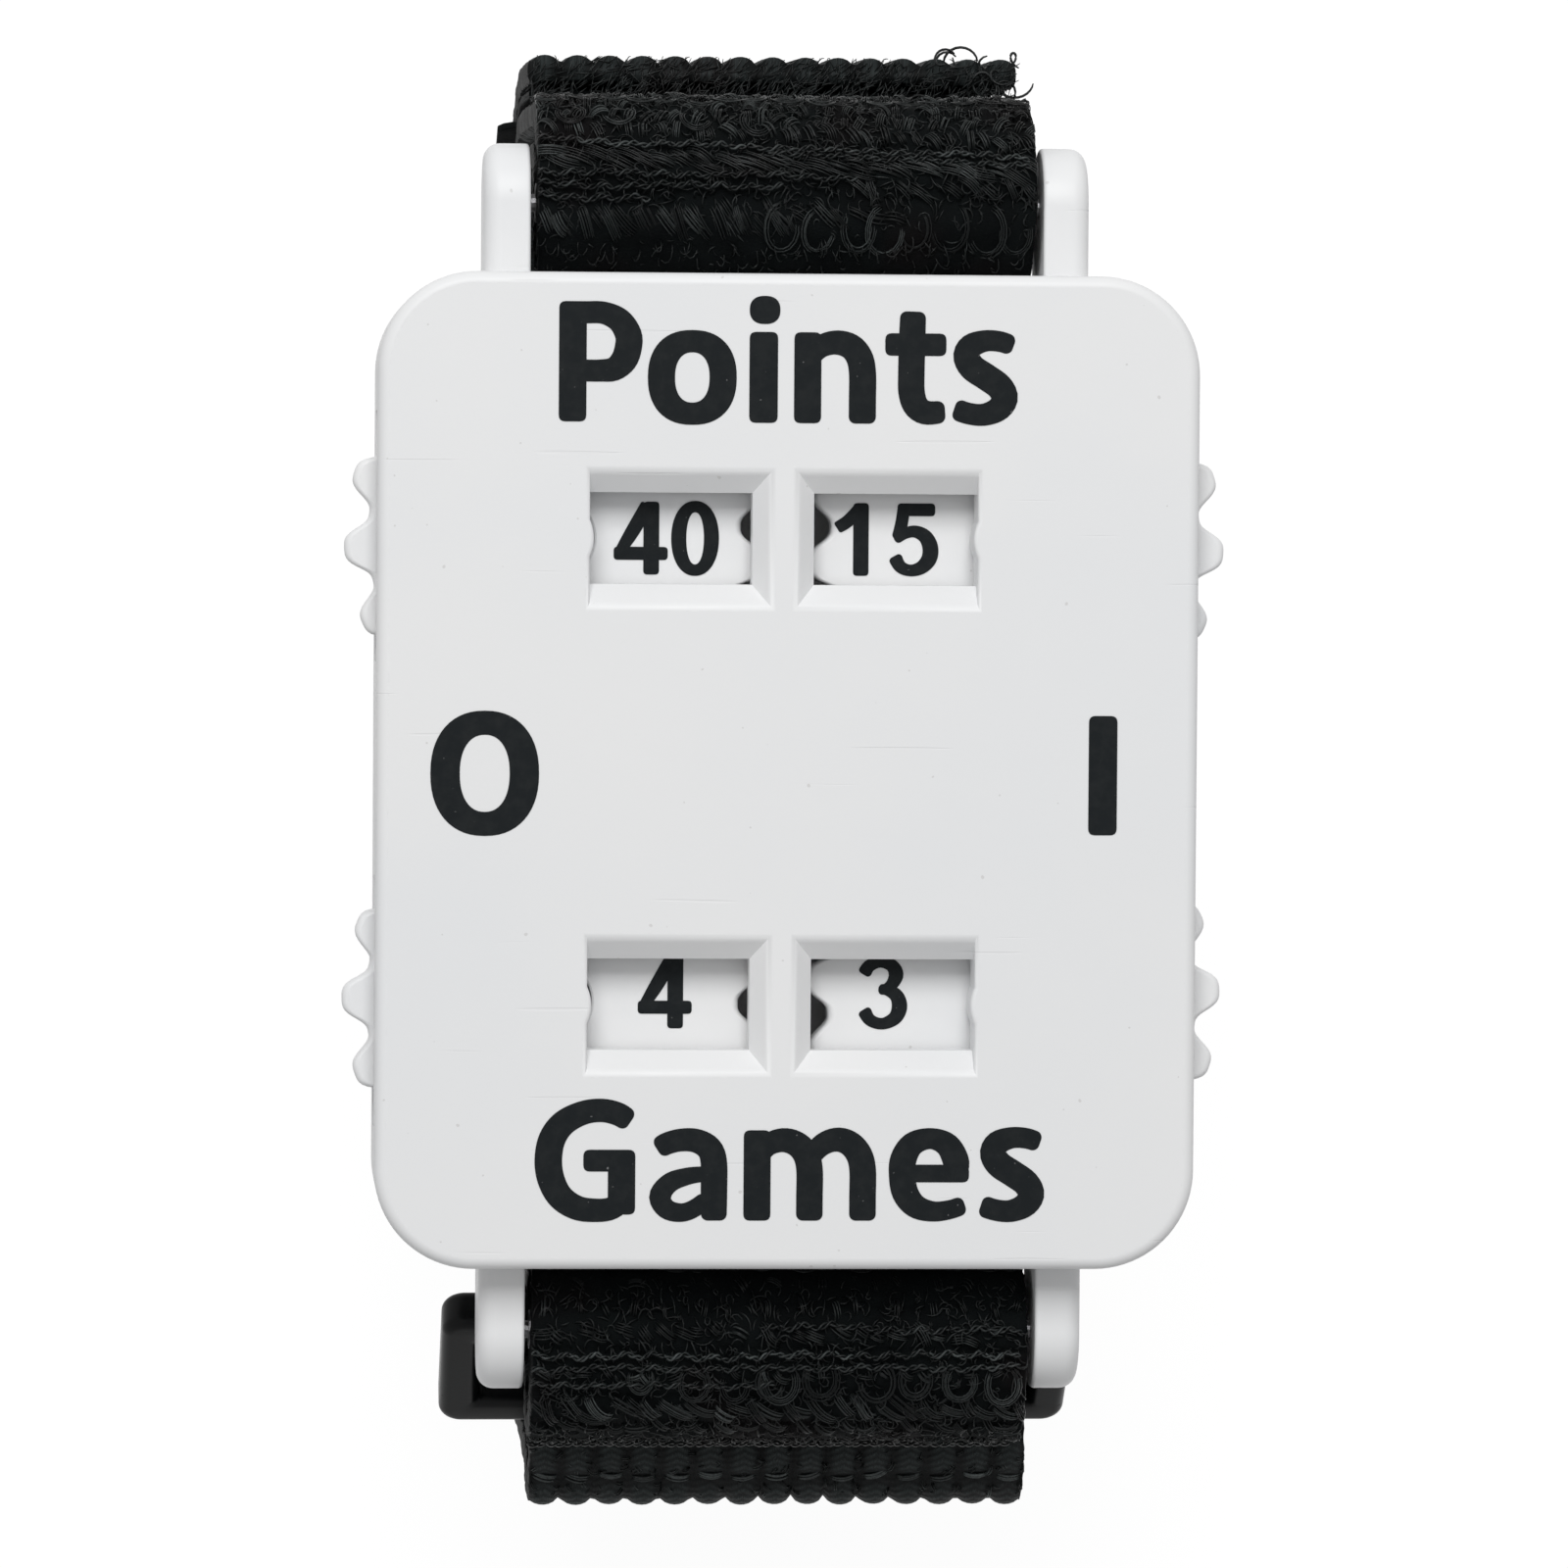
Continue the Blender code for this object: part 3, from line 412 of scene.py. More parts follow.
class Finish(Nodes):
    """A Principled material whose sockets are set by name."""

    def __init__(self, name, **constants):
        self.material = bpy.data.materials.new(name)
        self.material.use_nodes = True
        super().__init__(self.material.node_tree)
        self.shader = self.tree.nodes["Principled BSDF"]
        self.wear(**constants)

    def noise(self, vector, scale, detail=2.0, roughness=0.5):
        """Soft noise between 0 and 1, with scale features to the metre."""
        sockets = {"Vector": vector, "Scale": scale, "Detail": detail, "Roughness": roughness}
        return self.add("ShaderNodeTexNoise", {}, sockets)

    def stretch(self, vector, scale, angle=0.0):
        """The vector turned about Z and scaled unevenly, so that a pattern on it is drawn out."""
        sockets = {"Vector": vector, "Rotation": (0, 0, angle), "Scale": scale}
        return self.add("ShaderNodeMapping", {}, sockets)

    def step(self, wire, low, high):
        """0 below low, 1 above high, and a smooth rise between."""
        sockets = {"Value": wire, "From Min": low, "From Max": high}
        return self.add("ShaderNodeMapRange", {"interpolation_type": "SMOOTHSTEP"}, sockets)

    def mix(self, share, first, second):
        """A colour that goes from the first to the second as share goes from 0 to 1."""
        return self.add("ShaderNodeMix", {"data_type": "RGBA"}, {0: share, 6: first, 7: second}, 2)

    def bump(self, height, distance):
        """A normal that leans as if the surface rose by distance, in metres, where height is 1."""
        return self.add("ShaderNodeBump", {}, {"Height": height, "Distance": distance, "Strength": 1.0})

    def coordinates(self, out="Object"):
        """The place on the piece: in its own metres, or on its own map."""
        return self.add("ShaderNodeTexCoord", {}, {}, out)

    def wear(self, **values):
        """Sets the shader's sockets by name, and hands back the material."""
        for socket, value in values.items():
            self.put(self.shader.inputs[socket.replace("_", " ")], value)
        return self.material


print("shader helpers ready")


# %% [markdown]
# ## White moulded plastic
#
# The case is a satin white plastic. It is nearly neutral, with a very slight cold tint. Close up the
# moulded skin has a fine grain, its gloss is a little uneven, and use has left a few specks and hairline
# scratches. All of that is small, because a white part looks wrong as soon as any of it reads as dirt.

# %% The case's and the dials' plastic
def moulded_white(name, colour, roughness, scratches):
    """White plastic: broad tone drift, fine grain in the bump, rare specks, and hairlines if asked for."""
    finish = Finish(name, IOR=1.47, Specular_IOR_Level=0.35)
    place = finish.coordinates()
    drift = finish.noise(place, 55.0, 3.0)
    grain = finish.noise(place, 5200.0, 3.0, 0.6)
    orange_peel = finish.noise(place, 700.0, 2.0)
    specks = finish.step(finish.noise(place, 2400.0, 0.0), 0.862, 0.885)
    cool = tuple(channel * share for channel, share in zip(colour, (0.972, 0.980, 0.990)))
    base = finish.mix(finish.step(drift, 0.30, 0.70), colour, cool)
    base = finish.mix(specks * 0.35, base, (0.42, 0.40, 0.38))
    gloss = roughness + (orange_peel - 0.5) * 0.14 + (drift - 0.5) * 0.06
    height = grain * 0.5 + orange_peel * 0.6
    if scratches:
        hair_a = finish.noise(finish.stretch(place, (60.0, 2600.0, 60.0), 0.62), 1.0, 1.0)
        hair_b = finish.noise(finish.stretch(place, (75.0, 3100.0, 75.0), -1.05), 1.0, 1.0)
        lines = finish.step(hair_a, 0.75, 0.775) + finish.step(hair_b, 0.75, 0.775)
        base = finish.mix(lines * 0.03, base, (0.50, 0.50, 0.50))
        gloss = gloss + lines * 0.15
        height = height - lines * 1.5
    return finish.wear(Base_Color=base, Roughness=gloss, Normal=finish.bump(height, 0.000006))


WHITE = moulded_white("white_moulded_plastic", (0.800, 0.803, 0.806), 0.42, True)
DIAL_WHITE = moulded_white("white_dial_plastic", (0.820, 0.822, 0.824), 0.38, False)
print("white plastics ready")

# %% [markdown]
# ## Printing ink
#
# The words and numbers are pad printed in one soft black. Its film is thin and a little mottled, with a
# few pinholes where the white shows through.

# %% The ink
def printing_ink(name):
    """Two soft blacks, mottled, with pinholes where the noise is highest."""
    finish = Finish(name, IOR=1.45, Specular_IOR_Level=0.12)
    place = finish.coordinates()
    mottle = finish.noise(place, 1500.0, 3.0, 0.6)
    pinholes = finish.step(finish.noise(place, 4200.0, 1.0), 0.76, 0.84)
    base = finish.mix(finish.step(mottle, 0.35, 0.75), (0.0065, 0.0085, 0.0098), (0.0125, 0.0145, 0.0155))
    base = finish.mix(pinholes * 0.5, base, (0.30, 0.30, 0.30))
    gloss = 0.48 + mottle * 0.2
    return finish.wear(Base_Color=base, Roughness=gloss, Normal=finish.bump(mottle, 0.000008))


INK = printing_ink("black_printing_ink")
print("ink ready")


# %% [markdown]
# ## Webbing, yarn and tape
#
# The strap is black polyester, woven on one side as plain ribs and on the other as loops that hooks
# catch on. Black cloth is dark because light is lost between its fibres, so the finish keeps reflection
# low; the highlights of single fibres and yarns are painted into their colour instead, and on the ribbed
# face painted shade darkens the grooves. The strap's own map gives the direction of its fibres: the
# first coordinate runs across the strap and the second along it, both in centimetres.

# %% Fibres
def cloth(name, roughness, specular, shades, fibres):
    """Black cloth: its colour drifts between near blacks, and drawn-out noise makes its fibres. Returns
    the finish, its colour so far, its fibres and its gloss, for each cloth to add to."""
    finish = Finish(name, IOR=1.5, Specular_IOR_Level=specular)
    dark, light, warm = shades
    place = finish.coordinates()
    drift = finish.noise(place, 420.0, 3.0, 0.6)
    hue = finish.noise(place, 160.0, 1.0)
    strands = finish.noise(finish.stretch(finish.coordinates("UV"), fibres), 1.0, 3.0, 0.65)
    base = finish.mix(finish.step(drift, 0.32, 0.68), dark, light)
    base = finish.mix(finish.step(hue, 0.52, 0.66), base, warm)
    gloss = roughness + (drift - 0.5) * 0.2
    return finish, base, strands, gloss


def ribbed_black(name):
    """The plain face: the threads of each rib run outwards from its middle, as in knitting. Their phase
    is the length along the tape plus the distance from the rib's middle. Painted highlights brighten the
    threads on the raised middles of the lumps, and painted shade darkens the grooves between the ribs and
    the nips between the lumps."""
    shades = (0.0016, 0.0027, 0.0029), (0.0058, 0.0082, 0.0082), (0.0052, 0.0048, 0.0050)
    finish, base, strands, gloss = cloth(name, 0.62, 0.16, shades, (160.0, 40.0, 1.0))
    split = ("ShaderNodeSeparateXYZ", {}, {"Vector": finish.coordinates("UV")})
    u, v = finish.add(*split, out=0), finish.add(*split, out=1)
    rib = u * (0.01 / RIB_PITCH) + RIB_COUNT / 2
    from_middle = (rib.part("FRACT") - 0.5).part("ABSOLUTE")
    threads = (v * (2 * math.pi / 0.034) + from_middle * 16.0).part("SINE") * 0.5 + 0.5
    lumps = ((v - LUMP_START * 100) * (math.pi * 0.01 / LUMP_LENGTH)).part("SINE").part("ABSOLUTE")
    # raised is 1 on the middles of the lumps and 0 in the grooves and nips
    raised = finish.step(lumps, 0.15, 0.75) * (1.0 - finish.step(from_middle, 0.20, 0.44))
    painted_highlight = threads * finish.step(strands, 0.30, 0.75) * raised
    # painted shade: near black in the grooves between the ribs and the nips between the lumps
    base_with_painted_shade = finish.mix(raised, (0.0005, 0.0009, 0.0010), base)
    # painted highlight: the threads on the raised middles turn pale
    shown = finish.mix(painted_highlight * 0.9, base_with_painted_shade, (0.044, 0.053, 0.053))
    relief = finish.bump(threads * 0.5 + strands, 0.00006)
    return finish.wear(Base_Color=shown, Roughness=gloss, Normal=relief)


def plain_cloth(name, roughness, specular, shades, fibres, step, share, light, depth):
    """Cloth with a painted sheen: its fibres are painted towards the light colour where their noise is
    high. Loose yarn has no one share of painted sheen: there each yarn's own tone, from the mesh, is the
    share."""
    finish, base, strands, gloss = cloth(name, roughness, specular, shades, fibres)
    if share is None:
        share = finish.add("ShaderNodeAttribute", {"attribute_name": "tone"}, {}, out=2)
    # painted sheen: the light colour is mixed in where the fibres' noise is high
    shown = finish.mix(share * finish.step(strands, *step), base, light)
    return finish.wear(Base_Color=shown, Roughness=gloss, Normal=finish.bump(strands, depth))


# Each plain cloth below ends with its painted sheen: the steps on the fibres' noise, the share, the
# sheen's colour, and then the bump's depth
RIBS = ribbed_black("ribbed_webbing")
GROUND = plain_cloth(
    "webbing_ground", 0.75, 0.06,
    ((0.0010, 0.0016, 0.0018), (0.0030, 0.0042, 0.0044), (0.0030, 0.0026, 0.0028)),
    (40.0, 160.0, 1.0), (0.55, 0.80), 0.5, (0.010, 0.013, 0.013), 0.00008)
YARN = plain_cloth(
    "loop_yarn", 0.34, 0.22,
    ((0.0012, 0.0020, 0.0022), (0.0040, 0.0056, 0.0056), (0.0045, 0.0038, 0.0040)),
    (60.0, 60.0, 1.0), (0.15, 0.60), None, (0.130, 0.148, 0.147), 0.00003)
TAPE = plain_cloth(
    "hook_tape_weave", 0.65, 0.05,
    ((0.0014, 0.0020, 0.0022), (0.0036, 0.0046, 0.0048), (0.0036, 0.0032, 0.0034)),
    (120.0, 120.0, 1.0), (0.55, 0.80), 0.6, (0.012, 0.013, 0.013), 0.00006)
print("cloths ready")


# %% [markdown]
# ## Black plastic and steel
#
# The ring is a glossy black moulding with a soft satin skin, scuffed here and there. The springs and
# the spring bars are drawn steel with fine lines along the wire, and the screws are plated.

# %% Ring plastic and steels
def ring_black(name):
    """Clouded near black, with drawn-out scuffs that are paler and rougher."""
    finish = Finish(name, IOR=1.5, Specular_IOR_Level=0.10)
    place = finish.coordinates()
    cloud = finish.noise(place, 300.0, 3.0)
    grain = finish.noise(place, 4000.0, 2.0)
    drawn = finish.noise(finish.stretch(place, (200.0, 2500.0, 2500.0)), 1.0, 2.0)
    scuffs = finish.step(drawn, 0.66, 0.74)
    base = finish.mix(cloud, (0.0022, 0.0026, 0.0028), (0.0050, 0.0056, 0.0060))
    return finish.wear(
        Base_Color=finish.mix(scuffs * 0.4, base, (0.020, 0.021, 0.023)),
        Roughness=0.24 + cloud * 0.12 + scuffs * 0.18,
        Normal=finish.bump(grain * 0.3 + cloud, 0.000010),
    )


def drawn_steel(name, bright, dull, roughness):
    """Metal with fine lines along X, stained here and there from bright to dull."""
    finish = Finish(name, Metallic=1.0)
    place = finish.coordinates()
    lines = finish.noise(finish.stretch(place, (400.0, 6000.0, 6000.0)), 1.0, 2.0)
    stain = finish.noise(place, 900.0, 3.0, 0.6)
    return finish.wear(
        Base_Color=finish.mix(finish.step(stain, 0.35, 0.75), bright, dull),
        Roughness=roughness + lines * 0.16 + (stain - 0.5) * 0.1,
        Normal=finish.bump(lines, 0.000004),
    )


RING_BLACK = ring_black("ring_black_plastic")
SPRING_STEEL = drawn_steel("spring_steel_wire", (0.50, 0.51, 0.53), (0.36, 0.36, 0.37), 0.26)
PLATED = drawn_steel("plated_steel_wire", (0.34, 0.34, 0.35), (0.20, 0.20, 0.21), 0.34)
print("ring plastic and steels ready")


# %% [markdown]
# ## Front cover
#
# The cover is a plate with large round corners and a soft edge, cut by four number windows. Each window
# has an upright wall on its dial's side, with a small round boss in its middle, and three sloping bevels.
# A cutter with the window's shape gives both the bevels and the softly rounded rim in one cut: its
# outline stands upright to the foot of the bevels, widens up their slope, and flares out at the rim.

# %% Cut the windows
def window_outline(sx, y, drop, z, flare=0.0):
    """One window at a height: drop is how far below the front, and flare moves each side outwards."""
    share = min(drop / BEVEL_DEPTH, 1)
    half = WINDOW_HEIGHT / 2 - share * BEVEL_UP + flare
    inner = WINDOW_BAR / 2 + share * BEVEL_IN - flare
    wall = WINDOW_OUTER - WINDOW_TRIM + flare
    boss = BOSS_RADIUS - flare
    reach = math.acos(min(1.0, (DIAL_ACROSS - wall) / boss))
    turn = np.linspace(math.pi + reach, math.pi - reach, 17)
    arc = np.stack([DIAL_ACROSS + boss * np.cos(turn), boss * np.sin(turn)], axis=1)
    corners = [(inner, half), (inner, -half), (wall, -half), *arc, (wall, half)]
    return at_height(np.array(corners) * (sx, 1), z, (WINDOW_SHIFT, y))


def make_cover():
    """The plate's edge is a quarter round, and each window's rim flares by a quarter round of its own."""
    edge = [(inset, COVER_TOP - drop) for inset, drop in rounded_edge(COVER_EDGE)]
    foot = [(BREAK, COVER_BOTTOM), (0, COVER_BOTTOM + BREAK)]
    cover = make_piece("cover_plate", *slab(CASE_WIDTH, CASE_LENGTH, CASE_CORNER, [*foot, *edge]), WHITE)
    recalculate(cover.data)
    tabs = []
    tab_y = CASE_LENGTH / 2 - CASE_WALL - FIT
    tab_x = CASE_WIDTH / 2 - CASE_WALL - FIT
    low, high = COVER_BOTTOM - TAB_DEPTH, COVER_BOTTOM + TAB_ROOT
    for side in (-1, 1):
        y = sorted([side * tab_y, side * (tab_y - TAB_THICKNESS)])
        tabs.append(block((-END_TAB_WIDTH / 2, y[0], low), (END_TAB_WIDTH / 2, y[1], high)))
        x = sorted([side * tab_x, side * (tab_x - TAB_THICKNESS)])
        tabs.append(block((x[0], -SIDE_TAB_WIDTH / 2, low), (x[1], SIDE_TAB_WIDTH / 2, high)))
    carve(cover, "UNION", tabs)
    cuts = []
    thickness = COVER_TOP - COVER_BOTTOM
    for name, sx, (x, y) in dial_places():
        rings = [window_outline(sx, y, thickness + OVERRUN, COVER_BOTTOM - OVERRUN)]
        rings.append(window_outline(sx, y, BEVEL_DEPTH, COVER_TOP - BEVEL_DEPTH))
        for flare, drop in rounded_edge(WINDOW_RIM, 6):
            rings.append(window_outline(sx, y, drop, COVER_TOP - drop, flare))
        rings.append(window_outline(sx, y, 0, COVER_TOP + OVERRUN, WINDOW_RIM))
        cuts.append(skin(rings))
        ends = (COVER_BOTTOM - OVERRUN, COVER_BOTTOM + SCREW_BITE + FIT)
        cuts.append(turned([(SCREW_RADIUS + FIT, z) for z in ends], (x, y), 24))
    carve(cover, "DIFFERENCE", cuts)
    even_shading(cover)
    return cover


cover = make_cover()
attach(cover, "case")
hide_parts("front_cover")
print("cover:", len(cover.data.polygons), "faces")


# %% [markdown]
# ## Rear case
#
# The rear case is a shallow tray with a post for each dial, slots in its side walls where the dials' teeth
# come out, seats for four screws, and two lugs at each end that hold the strap. It is moulded in one
# piece, so here too it is one solid: a rounded tray, cut and joined with the same outlines as the CAD
# model's, but with more steps round each curve and a much softer outer edge on the lugs.

# %% Lugs, posts and slots
def lug(side, end):
    """One lug: its profile is a half round nose round the pin, and the nose shrinks over a quarter round
    towards each face. side is the sign of its X, end the sign of its Y."""
    inner, outer = LUG_GAP / 2, LUG_GAP / 2 + LUG_THICKNESS
    places = [(inner + drop, inset) for inset, drop in rounded_edge(LUG_INNER_ROUND, 4)][::-1]
    places += [(outer - drop, inset) for inset, drop in rounded_edge(LUG_OUTER_ROUND, 8)]
    rings = []
    for x, inset in places:
        turn = np.linspace(-math.pi / 2, math.pi / 2, 29)
        radius = LUG_RADIUS - inset
        nose = np.stack([PIN_Y + radius * np.cos(turn), PIN_Z + radius * np.sin(turn)], axis=1)
        root = CASE_LENGTH / 2 - CASE_WALL / 2
        outline = np.concatenate([nose, [(root, PIN_Z + radius), (root, PIN_Z - radius)]])
        rings.append(across(outline * (end, 1), side * x))
    return skin(rings)


def make_tray():
    """The tray's side rises over a quarter round from its floor, and ends in a hairline round."""
    foot = [(inset, CASE_BOTTOM + drop) for inset, drop in rounded_edge(REAR_EDGE, 10)][::-1]
    rim = [(inset, RIM - drop) for inset, drop in rounded_edge(RIM_ROUND, 3)]
    tray = make_piece("case_tray", *slab(CASE_WIDTH, CASE_LENGTH, CASE_CORNER, [*foot, *rim]), WHITE)
    recalculate(tray.data)
    hollow = [(CASE_WALL, FLOOR_TOP), (CASE_WALL, RIM + OVERRUN)]
    carve(tray, "DIFFERENCE", [slab(CASE_WIDTH, CASE_LENGTH, CASE_CORNER, hollow)])
    slots, posts, holes = [], [], []
    slot_radius = DIAL_RADIUS + SLOT_CLEARANCE
    stop_y = SPRING_SPAN / 2 + FIT
    for name, sx, centre in dial_places():
        slot = [(slot_radius, DIAL_BOTTOM - SLOT_CLEARANCE), (slot_radius, RIM + OVERRUN)]
        slots.append(turned(slot, centre, 96))
        low = FLOOR_TOP - CASE_FLOOR / 2
        shoulder = HUB_BOTTOM - FIT
        foot_part = [(SHOULDER_RADIUS, low), (SHOULDER_RADIUS, shoulder)]
        posts.append(turned([*foot_part, (POST_RADIUS, shoulder), (POST_RADIUS, RIM)], centre))
        spring_x = centre[0] - sx * CLICK_RADIUS
        for end in (-1, 1):
            y = sorted([centre[1] + end * stop_y, centre[1] + end * (stop_y + STOP_LENGTH)])
            foot_corner = (spring_x - SPRING_WIDTH / 2, y[0], low)
            posts.append(block(foot_corner, (spring_x + SPRING_WIDTH / 2, y[1], FLOOR_TOP + STOP_HEIGHT)))
        seat = CASE_BOTTOM + SCREW_HEAD_HEIGHT + FIT
        room = SCREW_HEAD_RADIUS + FIT
        mouth = room + SEAT_FLARE
        flare = [(mouth, CASE_BOTTOM - OVERRUN), (mouth, CASE_BOTTOM), (room, CASE_BOTTOM + SEAT_FLARE)]
        bore = [(room, seat), (SCREW_RADIUS + FIT, seat), (SCREW_RADIUS + FIT, RIM + OVERRUN)]
        holes.append(turned([*flare, *bore], centre))
    carve(tray, "DIFFERENCE", slots)
    depth, length, height = SIDE_GROOVE
    groove_z = (CASE_BOTTOM + REAR_EDGE + DIAL_BOTTOM) / 2
    for side in (-1, 1):
        for end in (-1, 1):
            posts.append(lug(side, end))
            ends = (LUG_GAP / 2 - OVERRUN, LUG_GAP / 2 + TIP_BITE + FIT)
            hole = [(TIP_RADIUS + FIT, side * x) for x in ends]
            holes.append(turned_across(hole, (end * PIN_Y, PIN_Z)))
        wall = CASE_WIDTH / 2
        x = sorted([side * (wall + OVERRUN), side * (wall - depth)])
        low, high = groove_z - height / 2, groove_z + height / 2
        holes.append(block((x[0], -length / 2, low), (x[1], length / 2, high)))
    carve(tray, "UNION", posts)
    carve(tray, "DIFFERENCE", holes)
    even_shading(tray)
    return tray


tray = make_tray()
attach(tray, "case")
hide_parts("rear_case")
print("tray:", len(tray.data.polygons), "faces")


# %% [markdown]
# ## Dials
#
# Each dial is a thin disc with 17 rounded teeth, on a hub that turns on its post. Its radius falls from
# each tooth's tip to the root as a flattened cosine, which gives broad tips and round valleys. The
# whole solid is one closed run of rings: out along the underside, up over the rounded teeth, in across the
# numbered face, and down through the bore. Dimples in the underside take the click spring's crest.

# %% Toothed discs
def toothed_outline(inset, lean, steps=24):
    """The radius at each angle: the tip's, less the tooth's depth times a raised cosine that one power
    flattens at the tips and another in the valleys."""
    turn = np.arange(TOOTH_COUNT * steps) * (2 * math.pi / (TOOTH_COUNT * steps))
    fall = 1 - (1 - ((1 - np.cos(TOOTH_COUNT * turn)) / 2) ** TIP_FLATNESS) ** VALLEY_FLATNESS
    radius = DIAL_RADIUS - inset - TOOTH_DEPTH * fall
    return np.stack([radius * np.cos(turn + lean), radius * np.sin(turn + lean)], axis=1)


def make_dial(name, sx, centre):
    """One closed run of rings: its two toothed edges are quarter rounds, and the rest are circles that
    keep the teeth's angles. The dimples are spaced evenly, one for each number."""
    tooth, numbers = DIALS[name][2:]
    outward = 0 if sx > 0 else math.pi
    lean = outward + sx * math.radians(tooth)
    outline = toothed_outline(0, lean)
    direction = outline / np.linalg.norm(outline, axis=1)[:, None]
    top = [(inset, DIAL_TOP - drop) for inset, drop in rounded_edge(TOOTH_TOP_ROUND, 6)]
    low = [(inset, DIAL_BOTTOM + drop) for inset, drop in rounded_edge(TOOTH_LOW_ROUND, 3)][::-1]
    bore = POST_RADIUS + BREAK
    rings = [at_height(toothed_outline(inset, lean), z, centre) for inset, z in [*low, *top]]
    for radius, z in [
        (bore + BREAK, DIAL_TOP), (bore, DIAL_TOP - BREAK), (bore, HUB_BOTTOM),
        (HUB_RADIUS, HUB_BOTTOM), (HUB_RADIUS, DIAL_BOTTOM),
    ]:
        rings.append(at_height(direction * radius, z, centre))
    dial = make_piece(name.replace("dial", "toothed_disc"), *skin(rings, closed=True), DIAL_WHITE)
    recalculate(dial.data)
    dimple = [(CLICK_SIZE, DIAL_BOTTOM - OVERRUN), (CLICK_SIZE, DIAL_BOTTOM),
              (CLICK_SIZE / 2, DIAL_BOTTOM + CLICK_SIZE)]
    dimples = []
    for k in range(len(numbers)):
        turn = outward + math.pi + 2 * math.pi * k / len(numbers)
        place = np.array(centre) + np.array([math.cos(turn), math.sin(turn)]) * CLICK_RADIUS
        dimples.append(turned(dimple, place, 12))
    carve(dial, "DIFFERENCE", dimples)
    even_shading(dial)
    return dial


for name, sx, centre in dial_places():
    disc = make_dial(name, sx, centre)
    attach(disc, name)
    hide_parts(name)
    print(disc.name, len(disc.data.polygons), "faces")


# %% [markdown]
# ## Numbers and words
#
# The counter names its two rows and its two sides in plain words and letters, and each dial has its
# numbers. They are printed, so each is a film a few hundredths of a millimetre thick. A font's letters
# could be thickened, but their outlines then cross. Here each letter is a few strokes instead: straight
# ones are polygons with softened corners, closed rings are bands between two superellipses, and the rest
# are drawn by a pen whose width changes along a smooth line. The strokes overlap, and Boolean unions make
# them a single film. Their numbers are thousandths of a capital's height.

# %% Strokes
def softened(outline, radius=0.055, sharp=25.0):
    """Every corner that turns by more than sharp degrees is replaced by a short quadratic curve."""
    outline = np.asarray(outline, dtype=float)
    before, after = np.roll(outline, 1, axis=0) - outline, np.roll(outline, -1, axis=0) - outline
    reach_before, reach_after = np.linalg.norm(before, axis=1), np.linalg.norm(after, axis=1)
    cosine = -np.sum(before * after, axis=1) / (reach_before * reach_after)
    corner = cosine < math.cos(math.radians(sharp))
    start = outline + before * np.where(corner, np.minimum(radius / reach_before, 0.4), 0)[:, None]
    end = outline + after * np.where(corner, np.minimum(radius / reach_after, 0.4), 0)[:, None]
    t = np.linspace(0, 1, 5)[None, :, None]
    curve = (1 - t) ** 2 * start[:, None] + 2 * t * (1 - t) * outline[:, None] + t ** 2 * end[:, None]
    keep = np.ones(curve.shape[:2], dtype=bool)
    keep[~corner, 1:] = False
    return curve[keep]


def shares(*numbers):
    """Thousandths of a capital's height as shares of it."""
    return np.array(numbers) / 1000


def bar(*sides):
    """A rectangle between two places across and two up."""
    x0, x1, y0, y1 = shares(*sides)
    return softened([(x0, y0), (x1, y0), (x1, y1), (x0, y1)])


def superellipse(middle, radii, power, steps=56):
    """Points where |x / a| ** power + |y / b| ** power = 1."""
    turn = np.arange(steps) * (2 * math.pi / steps)
    c, s = np.cos(turn), np.sin(turn)
    x = middle[0] + radii[0] * np.sign(c) * np.abs(c) ** (2 / power)
    y = middle[1] + radii[1] * np.sign(s) * np.abs(s) ** (2 / power)
    return np.stack([x, y], axis=1)


def dot(middle, radii, power):
    """A filled superellipse."""
    return superellipse(shares(*middle), shares(*radii), power)


def band(middle, radii, thick, power=2.3):
    """A closed ring, as a pair of outlines, out and in."""
    middle, radii, thick = shares(*middle), shares(*radii), shares(*thick)
    return superellipse(middle, radii, power), superellipse(middle, radii - thick, power)


def pen(*numbers, ends=55, steps=10):
    """A stroke through marks, three numbers each: x, y and width. Cubic pieces pass through every mark,
    with a slope at each of half the step between its neighbours. The width narrows round both ends."""
    marks, ends = shares(*numbers).reshape(-1, 3), ends / 1000
    row = np.vstack([2 * marks[0] - marks[1], marks, 2 * marks[-1] - marks[-2]])
    t = np.linspace(0, 1, steps, endpoint=False)[None, :, None]
    a, b, c, d = (row[k:len(row) - 3 + k][:, None] for k in range(4))
    square, cube = a - 2.5 * b + 2 * c - d / 2, 1.5 * (b - c) + (d - a) / 2
    cubic = b + (c - a) / 2 * t + square * t ** 2 + cube * t ** 3
    line = np.vstack([cubic.reshape(-1, 3), marks[-1]])
    run = np.append(0, np.cumsum(np.hypot(*np.diff(line[:, :2], axis=0).T)))
    near = ends * (1 - np.cos(np.linspace(0, math.pi / 2, 6)))
    middle = np.linspace(ends, run[-1] - ends, int(run[-1] / 0.03))[1:-1]
    spots = np.concatenate([near, middle, run[-1] - near[::-1]])
    x, y, width = (np.interp(spots, run, column) for column in line.T)
    from_end = np.minimum(np.minimum(spots, run[-1] - spots) / ends, 1)
    half = width / 2 - ends * (1 - np.sqrt(1 - (1 - from_end) ** 2))
    dx, dy = np.gradient(x), np.gradient(y)
    size = np.hypot(dx, dy)
    side = np.stack([-dy / size, dx / size], axis=1) * half[:, None]
    middle_line = np.stack([x, y], axis=1)
    return np.concatenate([middle_line + side, (middle_line - side)[::-1]])


